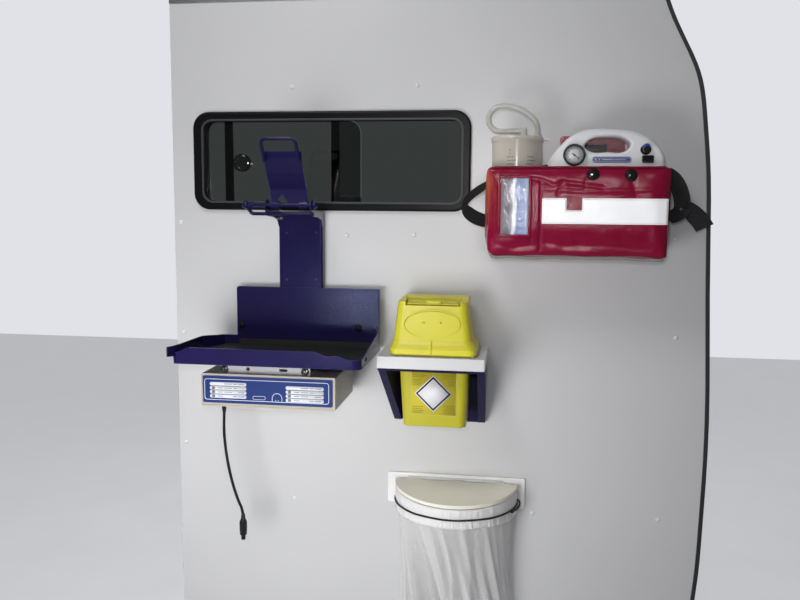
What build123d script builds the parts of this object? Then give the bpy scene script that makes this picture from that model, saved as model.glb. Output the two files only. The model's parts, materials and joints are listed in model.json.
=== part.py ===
from build123d import *
import os
from math import cos, hypot, pi, radians, sin, tan

# Millimetres. X runs right along the wall, Y into the wall, Z up from the saloon floor.
# The saloon face of the wall is Y = 0, and "out" is the distance in front of that face.

# Wall
WALL_LEFT = -625.0
WALL_FOOT = 5.0
WALL_TOP = 1896.0
WALL_THICK = 26.0
LINING_THICK = 4.0
BODY_SIDE = [
    (592, WALL_FOOT), (604, 180), (613, 350), (620, 501), (625, 561), (629, 672), (632, 819),
    (630, 979), (622, 1149), (614, 1341), (605, 1514), (595, 1602), (578, 1697), (538, 1783),
    (494, WALL_TOP),
]
SEAL_WIDE = 9.0
RAIL_SPACING_X = 1000.0
RAIL_SPACING_Y = 110.0
RAIL_HOLE_R = 4.5

# Sliding window, outer flange and clear opening
FRAME = dict(x0=-571.0, x1=91.0, z0=1398.0, z1=1628.0, radius=39.0)
SIGHT = dict(x0=-546.0, x1=70.0, z0=1418.0, z1=1607.0, radius=22.0)
FRAME_PROUD = 9.0
POSTS = [(-503.0, -483.0), (-241.0, -221.0)]
PANE_EDGE_X = -168.0
PULL = dict(x=-457.0, z=1510.0, radius=21.0)

# Monitor bracket
SHEET = 3.0
BEND = 3.0
COLUMN = dict(x0=-358.0, x1=-252.0, z0=1100.0, z1=1394.0, out=22.0)
PIVOT_OUT, PIVOT_Z = 118.0, 1411.0
BAR_R = 5.0
BALL_X = -404.0
KNUCKLE_R, KNUCKLE_WIDE = 9.0, 18.0
WIRE_OUT, WIRE_Z, WIRE_R = 112.0, 1391.0, 4.0
ARM_X0, ARM_X1 = -344.0, -261.0
ARM_FOLDS = [(PIVOT_OUT + 3, PIVOT_Z + 4), (128, 1445), (157, 1482), (171, 1511), (170, 1526)]
LOOP_R = 3.5
TRAY_FLOOR = 1071.0
TRAY_LEFT, TRAY_FRONT = -519.0, 255.0
TRAY_CORNER = 16.0
TRAY_BOLT_X, TRAY_BOLT_Z = (-451.0, -165.0), 1124.0
BACK_OUT = 25.0
BACK = dict(x0=-462.0, x1=-114.0, z1=1217.0)

# Charger
CHARGER = dict(x0=-479.0, x1=-178.0, out0=30.0, out1=215.0, z0=971.0, z1=1044.0)
LEAD_R = 3.5
LEAD_ROUTE = [(-463, 970.5), (-463, 938), (-465.2, 884), (-459.5, 826), (-448.5, 770), (-433.5, 722),
              (-421.5, 698), (-421.5, 674)]
LEAD_OUT = 120.0

# Sharps holder and bin
SHELF = dict(x0=-96.0, x1=139.0, out=175.0, z0=1061.0, z1=1087.0)
CHEEK_THICK = 17.0
BIN_WALL = 2.5
LID_RAKE = (38.0, 80.0)
RECESS_Z, LIP_Z = 1192.0, 1200.0
FLAP_OUT, FLAP_Z = 64.0, 1197.0

# Waste-bag holder
HOOP_X, HOOP_HALF, HOOP_DEPTH = 69.0, 143.0, 138.0
HOOP_Z0, HOOP_BACK_Z, HOOP_FRONT_Z = 697.0, 749.5, 735.0
LID_OUT, LID_Z, LID_SLOPE, LID_OVER = 12.0, 758.0, 6.0, 3.0

# Suction unit
CASE = dict(x0=133.0, x1=511.0, out0=14.0, out1=150.0, z0=1306.0, z1=1495.0)
JAR_X, JAR_OUT, JAR_FOOT, JAR_R = 195.0, 84.0, 1335.0, 53.5
HOUSING_OUT = 122.0
HOUSING_EDGE = 9.0
GAUGE = dict(x=314.0, z=1520.0, radius=23.0)
KNOB = dict(x=459.0, z=1531.0, radius=11.0, notches=6)
STUD_X, STUD_Z = (352.0, 428.0), (1479.0, 1477.0)
HOSE_R, HOSE_Z = 6.0, 1573.0
HOSE_ROUTE = [(195.8, HOSE_Z), (172, 1573), (149, 1572), (132.5, 1588), (132.5, 1610), (149, 1625.5),
              (172, 1627), (198, 1621), (222, 1606), (238, 1588), (238, 1567)]


def slab(x0, x1, out0, out1, z0, z1):
    """A block between two X, two distances out from the wall and two heights."""
    return Pos((x0 + x1) / 2, -(out0 + out1) / 2, (z0 + z1) / 2) * Box(x1 - x0, out1 - out0, z1 - z0)


def pad(x0, x1, z0, z1, radius, out0, out1):
    """A rounded rectangle lying on the wall plane, from out0 to out1."""
    return fillet(slab(x0, x1, out0, out1, z0, z1).edges().filter_by(Axis.Y), radius)


def raised(outline, out0, out1):
    """An (X, Z) outline raised from out0 to out1 in front of the wall."""
    wire = Polyline([(x, -out0, z) for x, z in outline], close=True)
    return extrude(make_face(wire), amount=out1 - out0, dir=(0, -1, 0))


def across(outline, x0, x1):
    """An (out, Z) outline drawn across the wall from x0 to x1."""
    wire = Polyline([(x0, -out, z) for out, z in outline], close=True)
    return extrude(make_face(wire), amount=x1 - x0, dir=(1, 0, 0))


def upright(outline, z0, z1):
    """An (X, out) outline raised from z0 to z1."""
    wire = Polyline([(x, -out, z0) for x, out in outline], close=True)
    return extrude(make_face(wire), amount=z1 - z0, dir=(0, 0, 1))


def level(x0, x1, out0, out1, z, radius):
    """A rounded rectangle at height z, as a loft section."""
    spot = Pos((x0 + x1) / 2, -(out0 + out1) / 2, z)
    return spot * RectangleRounded(x1 - x0, out1 - out0, radius)


def rod_x(x0, x1, out, z, radius):
    """A cylinder along the wall."""
    return Pos((x0 + x1) / 2, -out, z) * Rot(0, 90, 0) * Cylinder(radius, x1 - x0)


def rod_y(x, z, out0, out1, radius):
    """A cylinder standing out from the wall."""
    return Pos(x, -(out0 + out1) / 2, z) * Rot(90, 0, 0) * Cylinder(radius, out1 - out0)


def rod_z(x, out, z0, z1, radius):
    """An upright cylinder."""
    return Pos(x, -out, (z0 + z1) / 2) * Cylinder(radius, z1 - z0)


def along(path, radius):
    """A round rod, lead or hose swept along a path."""
    return sweep(Plane(origin=path @ 0, z_dir=path % 0) * Circle(radius), path=path)


def route(points, out):
    """A cord's path through (X, Z) points: straight runs joined by arcs as large as the runs allow."""
    spots = [Vector(x, -out, z) for x, z in points]
    radii = []
    for before, here, after in zip(spots, spots[1:], spots[2:]):
        turn = radians((here - before).get_angle(after - here))
        radii.append(0.45 * min((here - before).length, (after - here).length) / tan(turn / 2))
    print("cord bends", [round(r) for r in radii])
    return FilletPolyline(*spots, radius=radii)


def folded(middle, thick):
    """The closed outline of a bent sheet whose middle line runs through the given points."""
    left, right = [], []
    for i, (u, v) in enumerate(middle):
        before = middle[max(i - 1, 0)]
        after = middle[min(i + 1, len(middle) - 1)]
        d1 = (u - before[0], v - before[1]) if i else (after[0] - u, after[1] - v)
        d2 = (after[0] - u, after[1] - v) if i < len(middle) - 1 else d1
        l1, l2 = hypot(*d1), hypot(*d2)
        n1, n2 = (-d1[1] / l1, d1[0] / l1), (-d2[1] / l2, d2[0] / l2)
        share = 1 + n1[0] * n2[0] + n1[1] * n2[1]
        mitre = ((n1[0] + n2[0]) / share, (n1[1] + n2[1]) / share)
        left.append((u + mitre[0] * thick / 2, v + mitre[1] * thick / 2))
        right.append((u - mitre[0] * thick / 2, v - mitre[1] * thick / 2))
    return left + right[::-1]


def sheet_face(middle, thick, bend, place):
    """The section of a folded sheet: two sides beside its middle line, with rounded bends."""
    outline = folded(middle, thick)
    left, right = outline[:len(middle)], outline[len(middle):][::-1]
    turns = [(here[0] - before[0]) * (after[1] - here[1]) - (here[1] - before[1]) * (after[0] - here[0])
             for before, here, after in zip(middle, middle[1:], middle[2:])]
    left_radii = [bend if turn > 0 else bend + thick for turn in turns]
    right_radii = [bend + thick if turn > 0 else bend for turn in turns]
    one = FilletPolyline(*[place(u, v) for u, v in left], radius=left_radii)
    two = FilletPolyline(*[place(u, v) for u, v in right], radius=right_radii)
    return make_face(one + two + Line(one @ 0, two @ 0) + Line(one @ 1, two @ 1))


def fold_across(middle, bend, x0, x1):
    """Sheet metal folded along an (out, Z) line and as wide as x0 to x1."""
    return extrude(sheet_face(middle, SHEET, bend, lambda u, v: (x0, -u, v)), amount=x1 - x0, dir=(1, 0, 0))


def fold_upright(middle, bend, z0, z1):
    """Sheet metal folded along an (X, out) line and as tall as z0 to z1."""
    return extrude(sheet_face(middle, SHEET, bend, lambda u, v: (u, -v, z0)), amount=z1 - z0, dir=(0, 0, 1))


def softened(solid, axis, radius, keep=lambda spot: True):
    """The solid with its edges along one axis rounded, those whose middle point keep() accepts."""
    return fillet([e for e in solid.edges().filter_by(axis) if keep(e.center())], radius)


def turned(profile, x, z):
    """A turned piece standing out from the wall, from a (radius, out) profile."""
    wire = Polyline([(x + radius, -out, z) for radius, out in profile], close=True)
    return revolve(make_face(wire), axis=Axis((x, 0, z), (0, 1, 0)), revolution_arc=360)


def turned_upright(profile, x, out):
    """A turned piece with an upright axis, from a (radius, Z) profile."""
    wire = Polyline([(x + radius, -out, z) for radius, z in profile], close=True)
    return revolve(make_face(wire), axis=Axis((x, -out, 0), (0, 0, 1)), revolution_arc=360)


def wall_face(out, edge_shift=0.0):
    """The outline of the wall, its right side following the curve of the body."""
    side = [(x + edge_shift, -out, z) for x, z in BODY_SIDE]
    rest = Polyline([side[-1], (WALL_LEFT, -out, WALL_TOP), (WALL_LEFT, -out, WALL_FOOT), side[0]])
    return make_face(Spline(side) + rest)


nodes = {}

# Wall: white panel, grey lining on the cab side, rubber seal, rails at foot and head
hole = dict(x0=FRAME["x0"] + 14, x1=FRAME["x1"] - 12, z0=FRAME["z0"] + 12, z1=FRAME["z1"] - 12)
opening = pad(hole["x0"], hole["x1"], hole["z0"], hole["z1"], 28, -60, 20)
panel = extrude(wall_face(0), amount=WALL_THICK, dir=(0, 1, 0))
nodes["bulkhead_panel"] = panel - opening
lining = extrude(wall_face(-WALL_THICK), amount=LINING_THICK, dir=(0, 1, 0))
nodes["cab_side_lining"] = lining - opening
wide = extrude(wall_face(3, edge_shift=SEAL_WIDE), amount=WALL_THICK + 3, dir=(0, 1, 0))
narrow = extrude(wall_face(30), amount=90, dir=(0, 1, 0))
strip = wide - narrow
nodes["edge_seal"] = strip & slab(300, 700, -60, 10, 50, WALL_TOP - 16)

back = WALL_THICK + LINING_THICK
foot_rail = slab(WALL_LEFT, 590, -85, 75, 0, WALL_FOOT)
foot_rail += slab(WALL_LEFT, 590, 0, 4, WALL_FOOT, 48)
foot_rail += slab(WALL_LEFT, 590, -back - 4, -back, WALL_FOOT, 48)
for x in (-RAIL_SPACING_X / 2, RAIL_SPACING_X / 2):
    for y in (-RAIL_SPACING_Y / 2, RAIL_SPACING_Y / 2):
        foot_rail -= rod_z(x, -y, -5, 10, RAIL_HOLE_R)
nodes["floor_rail"] = foot_rail
head = slab(WALL_LEFT, 494, -back - 3, 3, WALL_TOP, WALL_TOP + 3)
head += slab(WALL_LEFT, 494, 0, 3, WALL_TOP - 16, WALL_TOP)
head += slab(WALL_LEFT, 494, -back - 3, -back, WALL_TOP - 16, WALL_TOP)
nodes["head_rail"] = head

# Window: flanged frame with two posts, two panes in their own tracks, trim ring on the cab side
flange = pad(FRAME["x0"], FRAME["x1"], FRAME["z0"], FRAME["z1"], FRAME["radius"], 0, FRAME_PROUD)
flange = fillet(flange.faces().sort_by(Axis.Y)[0].edges(), 5)
neck = pad(hole["x0"], hole["x1"], hole["z0"], hole["z1"], 28, -back, 0)
sight = pad(SIGHT["x0"], SIGHT["x1"], SIGHT["z0"], SIGHT["z1"], SIGHT["radius"], -60, 20)
frame = flange + neck - sight
for out in (-8.0, -18.0):
    track = pad(hole["x0"] + 5, hole["x1"] - 4, hole["z0"] + 4, hole["z1"] - 5, 24, out - 4.2, out + 0.2)
    frame -= track
nodes["window_frame"] = frame
nodes["window_posts"] = Compound([slab(x0, x1, -29, -24, SIGHT["z0"], SIGHT["z1"]) for x0, x1 in POSTS])
ring = pad(hole["x0"] - 12, hole["x1"] + 12, hole["z0"] - 12, hole["z1"] + 12, 38, -back - 4, -back)
nodes["window_trim_ring"] = ring - sight
fixed = slab(-236, hole["x1"] - 6, -12, -8, SIGHT["z0"] - 1, SIGHT["z1"] + 1)
sliding = slab(hole["x0"] + 8, PANE_EDGE_X, -22, -18, SIGHT["z0"] - 1, SIGHT["z1"] + 1)
fixed = fillet(fixed.edges().filter_by(Axis.Y).sort_by(Axis.X)[-2:], 18)
sliding = fillet(sliding.edges().filter_by(Axis.Y).group_by(Axis.X)[-1].sort_by(Axis.Z)[-1:], 30)
sliding = fillet(sliding.edges().filter_by(Axis.Y).group_by(Axis.X)[0], 18)
nodes["glass_fixed_pane"] = fixed
nodes["glass_sliding_pane"] = sliding
grip_r = PULL["radius"]
dish = [(0, -18), (grip_r, -18), (grip_r, -8), (grip_r - 2, -5), (grip_r - 5, -4), (grip_r - 8, -6), (0, -8)]
nodes["window_pull"] = turned(dish, PULL["x"], PULL["z"])
nodes["window_stop"] = slab(-220, -167, -17.5, -12.5, SIGHT["z0"], SIGHT["z0"] + 12)

# Monitor bracket: folded column, its neck and two cheeks, which carry the pivot bar and the wire below it
c = COLUMN
mid = SHEET / 2
channel = [(c["x0"] + mid, 0), (c["x0"] + mid, c["out"] - mid),
           (c["x1"] - mid, c["out"] - mid), (c["x1"] - mid, 0)]
column = fold_upright(channel, BEND, c["z0"], c["z1"] - 16)
neck = [(c["out"] - mid, c["z1"] - 20), (c["out"] - mid, c["z1"] - mid), (WIRE_OUT - WIRE_R, c["z1"] - mid)]
column += fold_across(neck, 2 * BEND, c["x0"], c["x1"])
cheek = [(0, 1352), (c["out"], 1362), (c["out"] + 10, 1376), (64, 1383), (110, 1386), (131, 1403),
         (131, 1414), (PIVOT_OUT, 1424), (104, 1421), (60, 1403), (0, c["z1"])]
for x in (c["x0"], c["x1"] - SHEET):
    plate = across(cheek, x, x + SHEET)
    column += softened(plate, Axis.X, 4, lambda spot: spot.Y < -50)

bar = rod_x(BALL_X + 4, c["x1"] + 3, PIVOT_OUT, PIVOT_Z, BAR_R)
bar += rod_x(BALL_X + 11, BALL_X + 16, PIVOT_OUT, PIVOT_Z, 7.5)
bar += Pos(BALL_X, -PIVOT_OUT, PIVOT_Z) * Sphere(9)
bar += Pos(c["x1"] + 5, -PIVOT_OUT, PIVOT_Z) * Sphere(8) & slab(c["x1"], 0, 0, 300, 1300, 1500)
wire_path = FilletPolyline((c["x1"] + 4, -WIRE_OUT, WIRE_Z), (-392, -WIRE_OUT, WIRE_Z),
                           (BALL_X, -PIVOT_OUT, PIVOT_Z - 2), radius=8)
bar += along(wire_path, WIRE_R)
nodes["latch_bar"] = bar
nodes["bracket_column"] = column - bar

arm_face = sheet_face(ARM_FOLDS, SHEET, 8, lambda u, v: (ARM_X0 - 20, -u, v))
arm_sheet = extrude(arm_face, amount=ARM_X1 - ARM_X0 + 40, dir=(1, 0, 0))
arm = arm_sheet & pad(ARM_X0, ARM_X1, 1400, 1530, 6, 80, 220)
arm -= raised([(-331, 1400), (-308, 1400), (-308, 1419), (-317, 1435), (-331, 1419)], 100, 160)
for x in (ARM_X0, ARM_X1 - KNUCKLE_WIDE):
    arm += rod_x(x, x + KNUCKLE_WIDE, PIVOT_OUT, PIVOT_Z, KNUCKLE_R)
nodes["latch_arm"] = arm - rod_x(ARM_X0 - 1, ARM_X1 + 1, PIVOT_OUT, PIVOT_Z, BAR_R + 0.3)

loop_x0, loop_x1 = ARM_X0 + LOOP_R - 1, ARM_X1 - LOOP_R - 1
loop_path = FilletPolyline((loop_x0, -178, 1504), (loop_x0, -205, 1550), (loop_x1, -205, 1550),
                           (loop_x1, -178, 1504), radius=13)
loop = along(loop_path, LOOP_R) - arm_sheet
nodes["latch_loop"] = max(loop.solids(), key=lambda solid: solid.volume)

# Monitor tray: floor and back plate folded from one sheet, rim bent round the right-hand corner
b = BACK
floor_line = [(BACK_OUT - mid, b["z1"]), (BACK_OUT - mid, TRAY_FLOOR + mid),
              (TRAY_FRONT - TRAY_CORNER, TRAY_FLOOR + mid)]
tray = fold_across(floor_line, BEND, -494, b["x1"])
back_corners = pad(b["x0"], b["x1"] + 20, TRAY_FLOOR - 30, b["z1"], 6, 0, TRAY_FRONT)
tray &= back_corners + slab(-494, b["x1"], 0, TRAY_FRONT, 1060, 1099)
floor_plan = [(-493, BACK_OUT + BEND), (b["x1"], BACK_OUT + BEND), (b["x1"], TRAY_FRONT),
              (TRAY_LEFT, TRAY_FRONT), (TRAY_LEFT - 2, 100)]
floor_sheet = upright(floor_plan, TRAY_FLOOR, TRAY_FLOOR + SHEET)
tray += softened(floor_sheet, Axis.Z, TRAY_CORNER + SHEET, lambda spot: spot.X > -200 and spot.Y < -200)
rim_line = [(TRAY_LEFT, TRAY_FRONT - mid), (b["x1"] - mid, TRAY_FRONT - mid),
            (b["x1"] - mid, BACK_OUT - SHEET)]
rim = fold_upright(rim_line, TRAY_CORNER, TRAY_FLOOR, b["z1"])
above_front = [(TRAY_LEFT - 6, 1093), (-490, 1107), (-213, 1107), (-186, 1098), (-165, 1100), (-144, 1092),
               (b["x1"] - SHEET, 1092), (b["x1"] - SHEET, 1230), (TRAY_LEFT - 6, 1230)]
above_side = [(34, 1230), (38, 1134), (60, 1117), (235, 1092), (262, 1092), (262, 1230)]
front_cut = raised(above_front, 100, 300)
rim -= softened(front_cut, Axis.Y, 12, lambda spot: -500 < spot.X < -140 and spot.Z < 1120)
side_cut = across(above_side, b["x1"] - SHEET, b["x1"] + 10)
rim -= softened(side_cut, Axis.X, 12, lambda spot: spot.Y > -200 and spot.Z < 1140)
tray += rim
slot = slab(b["x1"] - 8, b["x1"] + 5, 186, 214, 1080, 1088)
tray -= softened(slot, Axis.X, 3.9)
left_line = [(-494, BACK_OUT - mid), (-521, 100), (-520.5, 236), (-522, 258), (-528, 278)]
left_side = [(BACK_OUT - SHEET, TRAY_FLOOR), (TRAY_FRONT, TRAY_FLOOR), (TRAY_FRONT + 3, 1088), (281, 1090),
             (281, 1111), (100, 1107), (BACK_OUT - SHEET, 1099)]
left_mask = softened(across(left_side, -545, -485), Axis.X, 6, lambda spot: spot.Y < -270)
tray += fold_upright(left_line, BEND, TRAY_FLOOR, 1115) & left_mask
for x in TRAY_BOLT_X:
    tray -= rod_y(x, TRAY_BOLT_Z, 0, 60, 4)
nodes["monitor_tray"] = tray
mat_x1, mat_front = b["x1"] - SHEET - 1, TRAY_FRONT - SHEET - 1
mat_plan = [(-487, BACK_OUT + BEND), (mat_x1, BACK_OUT + BEND), (mat_x1, mat_front), (-516, mat_front),
            (-517, 101)]
mat = upright(mat_plan, TRAY_FLOOR + SHEET, TRAY_FLOOR + SHEET + 4)
mat = softened(mat, Axis.Z, TRAY_CORNER, lambda spot: spot.X > -200 and spot.Y < -200)
mat_top = TRAY_FLOOR + SHEET + 4
mat += slab(-455, b["x1"] - 20, BACK_OUT + 0.5, BACK_OUT + 7, mat_top - 0.5, mat_top + 13)
nodes["tray_mat"] = mat
dome = [(0, BACK_OUT - 10), (4, BACK_OUT - 10), (4, BACK_OUT), (8.5, BACK_OUT), (8.5, BACK_OUT + 1),
        (7, BACK_OUT + 4), (4, BACK_OUT + 5.5), (0, BACK_OUT + 6)]
nodes["tray_bolts"] = Compound([turned(dome, x, TRAY_BOLT_Z) for x in TRAY_BOLT_X])

# Charger under the tray, on an aluminium strip
strip = slab(-438, -237, 197, 200, CHARGER["z1"], TRAY_FLOOR)
strip += slab(-438, -237, 60, 200, TRAY_FLOOR - SHEET, TRAY_FLOOR)
strip += slab(-438, -237, 60, 200, CHARGER["z1"], CHARGER["z1"] + SHEET)
strip -= rod_y(-377, 1053, 190, 205, 4)
strip -= slab(-306, -288, 190, 205, 1050, 1056)
nodes["charger_strip"] = strip
h = CHARGER
housing = slab(h["x0"], h["x1"], h["out0"], h["out1"], h["z0"], h["z1"])
housing = fillet(housing.edges().filter_by(Axis.Y), 3)
housing -= slab(h["x0"] + 3, h["x1"] - 3, h["out1"] - 1.5, h["out1"] + 5, h["z0"] + 3, h["z1"] - 3)
nodes["charger_housing"] = housing
nodes["charger_fascia"] = pad(-475, -184, 979, 1039, 4, h["out1"] - 1.5, h["out1"] + 0.5)
gland = rod_z(-463, LEAD_OUT, h["z0"] - 12, h["z0"], 8)
gland -= rod_z(-463, LEAD_OUT, h["z0"] - 13, h["z0"] + 1, LEAD_R)
nodes["charger_gland"] = gland
lead_path = route(LEAD_ROUTE, LEAD_OUT)
lead = along(lead_path, LEAD_R - 0.2)
lead_volume = pi * (LEAD_R - 0.2) ** 2 * lead_path.length
print("lead", round(lead_path.length), "mm, volume ratio", lead.volume / lead_volume)
nodes["charger_lead"] = lead
plug = rod_z(-421.5, LEAD_OUT, 640, 674, 8) + rod_z(-421.5, LEAD_OUT, 628, 640, 5)
nodes["lead_connector"] = chamfer(plug.edges().group_by(Axis.Z)[-1], 3)

# Sharps holder: white shelf on two navy cheeks and a back board
s = SHELF
shelf = slab(s["x0"], s["x1"], 0, s["out"], s["z0"], s["z1"])
shelf = fillet(shelf.edges().filter_by(Axis.Z).sort_by(Axis.Y)[:2], 3)
shelf -= fillet(slab(-60, 112, 12, 158, 1000, 1100).edges().filter_by(Axis.Z), 20)
nodes["sharps_shelf"] = shelf
gusset = [(-3, 906), (12, 906), (170, s["z0"]), (-3, s["z0"])]
in_front = slab(-200, 200, 0, 200, 900, s["z0"])
left_cheek = (Pos(-78.5, 0, 0) * Rot(0, 0, -5.5) * across(gusset, 0, CHEEK_THICK)) & in_front
right_cheek = (Pos(135.3 - CHEEK_THICK, 0, 0) * Rot(0, 0, 1.4) * across(gusset, 0, CHEEK_THICK)) & in_front
cheeks = left_cheek + right_cheek
nodes["sharps_cheek_left"] = left_cheek
nodes["sharps_cheek_right"] = right_cheek
nodes["sharps_back_board"] = slab(-70, 127, 0, 9, 906, s["z0"]) - cheeks
front_rail = slab(-94, 138, 160, 172, s["z0"] - 6, s["z0"]) - cheeks
nodes["sharps_front_rail"] = max(front_rail.solids(), key=lambda solid: solid.volume)


def bin_shell(grow):
    """The bin below its rim, grown or shrunk by a wall thickness."""
    sections = [
        level(-42 - grow, 97 + grow, 34 - grow, 141 + grow, 927 - grow, 16 + grow),
        level(-53 - grow, 105 + grow, 19 - grow, 151 + grow, 1096, 18 + grow),
    ]
    return loft(sections, ruled=True)


body = bin_shell(0) + slab(-64, 115, 14, 160, s["z1"] + 0.3, s["z1"] + 4)
body -= bin_shell(-BIN_WALL) + slab(-40, 94, 35, 140, 1090, 1120)
nodes["sharps_bin_body"] = body


LID_ROWS = [(1091.2, 0, 0, 0, 0), (1103, 0, 0, 0, 0), (1112, 4, 6, 2, 8), (1121, 6, 12, 4, 15),
            (LIP_Z, 9.6, 25.4, 7.4, 57.3)]


def lid_shell(shrink, drop):
    """The bin's moulded lid: skirt, flare and raked front, as insets from the skirt row by row."""
    rows = []
    for i, (z, left, right, rear, front) in enumerate(LID_ROWS):
        z = z - drop if i == 0 else min(z, LID_ROWS[-1][0] - shrink)
        rows.append(level(-70 + left + shrink, 120 - right - shrink, 11 + rear + shrink, 165 - front - shrink,
                          z, 18 - shrink))
    return loft(rows, ruled=True)


hood_side = [(18, 1185), (18, 1207), (50, 1207), (66, 1202), (109, 1193), (109, 1185)]
hood = across(hood_side, -61, 96)
hood = chamfer([e for e in hood.edges() if e.center().Z > 1200 and e.center().X < -50], 9)
hood = softened(hood, Axis.Y, 5, lambda spot: spot.X > 90 and spot.Z > 1200)
recess = slab(-45, 82, 57, 103, RECESS_Z, RECESS_Z + 30)
lid = lid_shell(0, 0) + hood - recess
hollow = lid_shell(BIN_WALL, 5) & slab(-100, 150, 0, 200, 1080, RECESS_Z - BIN_WALL)
lid -= hollow + slab(-50, 90, 22, 50, 1180, 1203)
lid -= slab(-36, 73, 72, 98, 1180, RECESS_Z + 5)
rake = Plane(origin=(19.5, -(165 - 15 - 19), 1157), x_dir=(1, 0, 0), z_dir=(0, -LID_RAKE[1], LID_RAKE[0]))
oval = extrude(Ellipse(63, 34) - Ellipse(60, 31), amount=2.6)
lid += rake * Pos(0, -4, -1.2) * oval
lid += across([(160, 1093), (167, 1093), (167, 1102), (151, 1121), (148, 1118)], 17, 22)
for x in (-43, 76):
    lug = [(FLAP_OUT - 3, 1191), (FLAP_OUT + 3, 1191), (FLAP_OUT + 3, FLAP_Z + 2), (FLAP_OUT - 3, FLAP_Z + 2)]
    lid += across(lug, x, x + 4)
nodes["sharps_bin_lid"] = lid
flap = slab(-40, 77, FLAP_OUT + 4, 102, FLAP_Z - 4, FLAP_Z - 1)
flap = softened(flap, Axis.Z, 4, lambda spot: spot.Y < -100)
flap += softened(slab(2, 38, 88, 99, FLAP_Z - 1.5, FLAP_Z + 4), Axis.Z, 4)
flap += slab(-30, 68, FLAP_OUT, FLAP_OUT + 5, FLAP_Z - 2.5, FLAP_Z - 1)
flap += rod_x(-38.5, 75.5, FLAP_OUT, FLAP_Z, 2.5)
nodes["sharps_bin_flap"] = flap


def half_oval(half, depth, z0, z1, out0=0.0):
    """A half oval standing out from the wall."""
    oval = Pos(HOOP_X, 0, z0) * extrude(Ellipse(half, depth), amount=z1 - z0)
    return oval & slab(HOOP_X - 400, HOOP_X + 400, out0, 400, z0 - 1, z1 + 1)


# Waste-bag holder: wall plate, half hoop, hinged half lid, elastic band, bag
plate = pad(-96, 232, 698, 773, 6, 0, 5)
plate = fillet(plate.faces().sort_by(Axis.Y)[0].edges(), 1.5)
nodes["bag_holder_plate"] = plate
hoop = half_oval(HOOP_HALF, HOOP_DEPTH, HOOP_Z0, LID_Z, 5)
hoop -= half_oval(HOOP_HALF - 4, HOOP_DEPTH - 4, 600, 800)
for side in (-1, 1):
    x = HOOP_X + side * (HOOP_HALF - 11)
    hoop += slab(x - 9, x + 9, 5, 9, HOOP_Z0 + 1, LID_Z)
over_hoop = [(0, HOOP_BACK_Z), (HOOP_DEPTH + 5, HOOP_FRONT_Z), (HOOP_DEPTH + 5, 780), (0, 780)]
nodes["bag_holder_hoop"] = hoop - across(over_hoop, HOOP_X - 200, HOOP_X + 200)
lid_half, lid_depth = HOOP_HALF + LID_OVER, HOOP_DEPTH + LID_OVER
cover = half_oval(lid_half, lid_depth, 0, 3, LID_OUT + 4)
skirt = half_oval(lid_half, lid_depth, -5, 0, LID_OUT + 4)
cover += skirt - half_oval(lid_half - 3, lid_depth - 3, -6, 1, LID_OUT + 3)
cover = Pos(0, -LID_OUT, LID_Z) * Rot(LID_SLOPE, 0, 0) * Pos(0, LID_OUT, 0) * cover
for x in (HOOP_X - 115, HOOP_X - 15, HOOP_X + 85):
    cover += rod_x(x, x + 30, LID_OUT, LID_Z, 4) + slab(x, x + 30, LID_OUT, LID_OUT + 7, LID_Z - 1, LID_Z + 2)
    cover -= rod_x(x - 1, x + 31, LID_OUT, LID_Z, 2.1)
nodes["bag_holder_lid"] = cover
hinge = rod_x(HOOP_X - 127, HOOP_X + 127, LID_OUT, LID_Z, 1.9)
for x in (HOOP_X - 127, HOOP_X + 121):
    hinge += slab(x, x + 6, 5, LID_OUT + 2, LID_Z - 3, LID_Z + 3)
nodes["bag_holder_hinge"] = hinge
band = half_oval(HOOP_HALF + 3, HOOP_DEPTH + 3, 711, 717, 8)
band -= half_oval(HOOP_HALF, HOOP_DEPTH, 700, 730, 0)
nodes["bag_band"] = band


def bag_shell(shrink):
    """The hanging bag, tapering and rounding towards its foot."""
    rows = [(134, 128, 735), (133, 120, 640), (143, 96, 420), (126, 74, 250), (98, 44, 215)]
    sections = []
    for half, depth, z in rows:
        half, depth = half - shrink, depth - shrink
        wire = Polyline(
            [(HOOP_X - half, -10 - shrink, z)]
            + [(HOOP_X - half * cos(radians(a)), -10 - shrink - (depth - 10) * sin(radians(a)), z)
               for a in range(20, 180, 20)]
            + [(HOOP_X + half, -10 - shrink, z)], close=True)
        sections.append(make_face(wire))
    return loft(sections, ruled=True)


bag = bag_shell(0) - Pos(0, 0, 3) * bag_shell(2.5)
nodes["waste_bag"] = bag

# Suction unit in its soft case
k = CASE
case = slab(k["x0"], k["x1"], k["out0"], k["out1"], k["z0"], k["z1"])
case = softened(case, Axis.Y, 20, lambda spot: spot.X < 200 and spot.Z < 1400)
case = softened(case, Axis.Y, 9, lambda spot: spot.X > 400 or spot.Z > 1400)
case = fillet(case.faces().sort_by(Axis.Y)[0].edges(), 8)
well = slab(255, 502, 62, 128, 1340, 1500) + rod_z(JAR_X, JAR_OUT, JAR_FOOT, 1500, JAR_R + 2)
nodes["suction_case"] = case - well
nodes["case_back_panel"] = pad(287, 425, k["z1"], 1564, 8, 50, 58)
nodes["case_window"] = pad(165, 222, 1353, 1471, 5, k["out1"], k["out1"] + 1.5)
band_outline = [(250, 1377), (500, 1377), (500, 1430), (332, 1430), (332, 1405), (300, 1405), (300, 1430),
                (250, 1430)]
nodes["case_reflective_band"] = raised(band_outline, k["out1"], k["out1"] + 1.2)
stud = [(0, 0), (13, 0), (13, 3), (10, 6), (5, 7.5), (0, 8)]
stud = [(radius, k["out1"] + rise) for radius, rise in stud]
nodes["case_studs"] = Compound([turned(stud, x, z) for x, z in zip(STUD_X, STUD_Z)])

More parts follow.
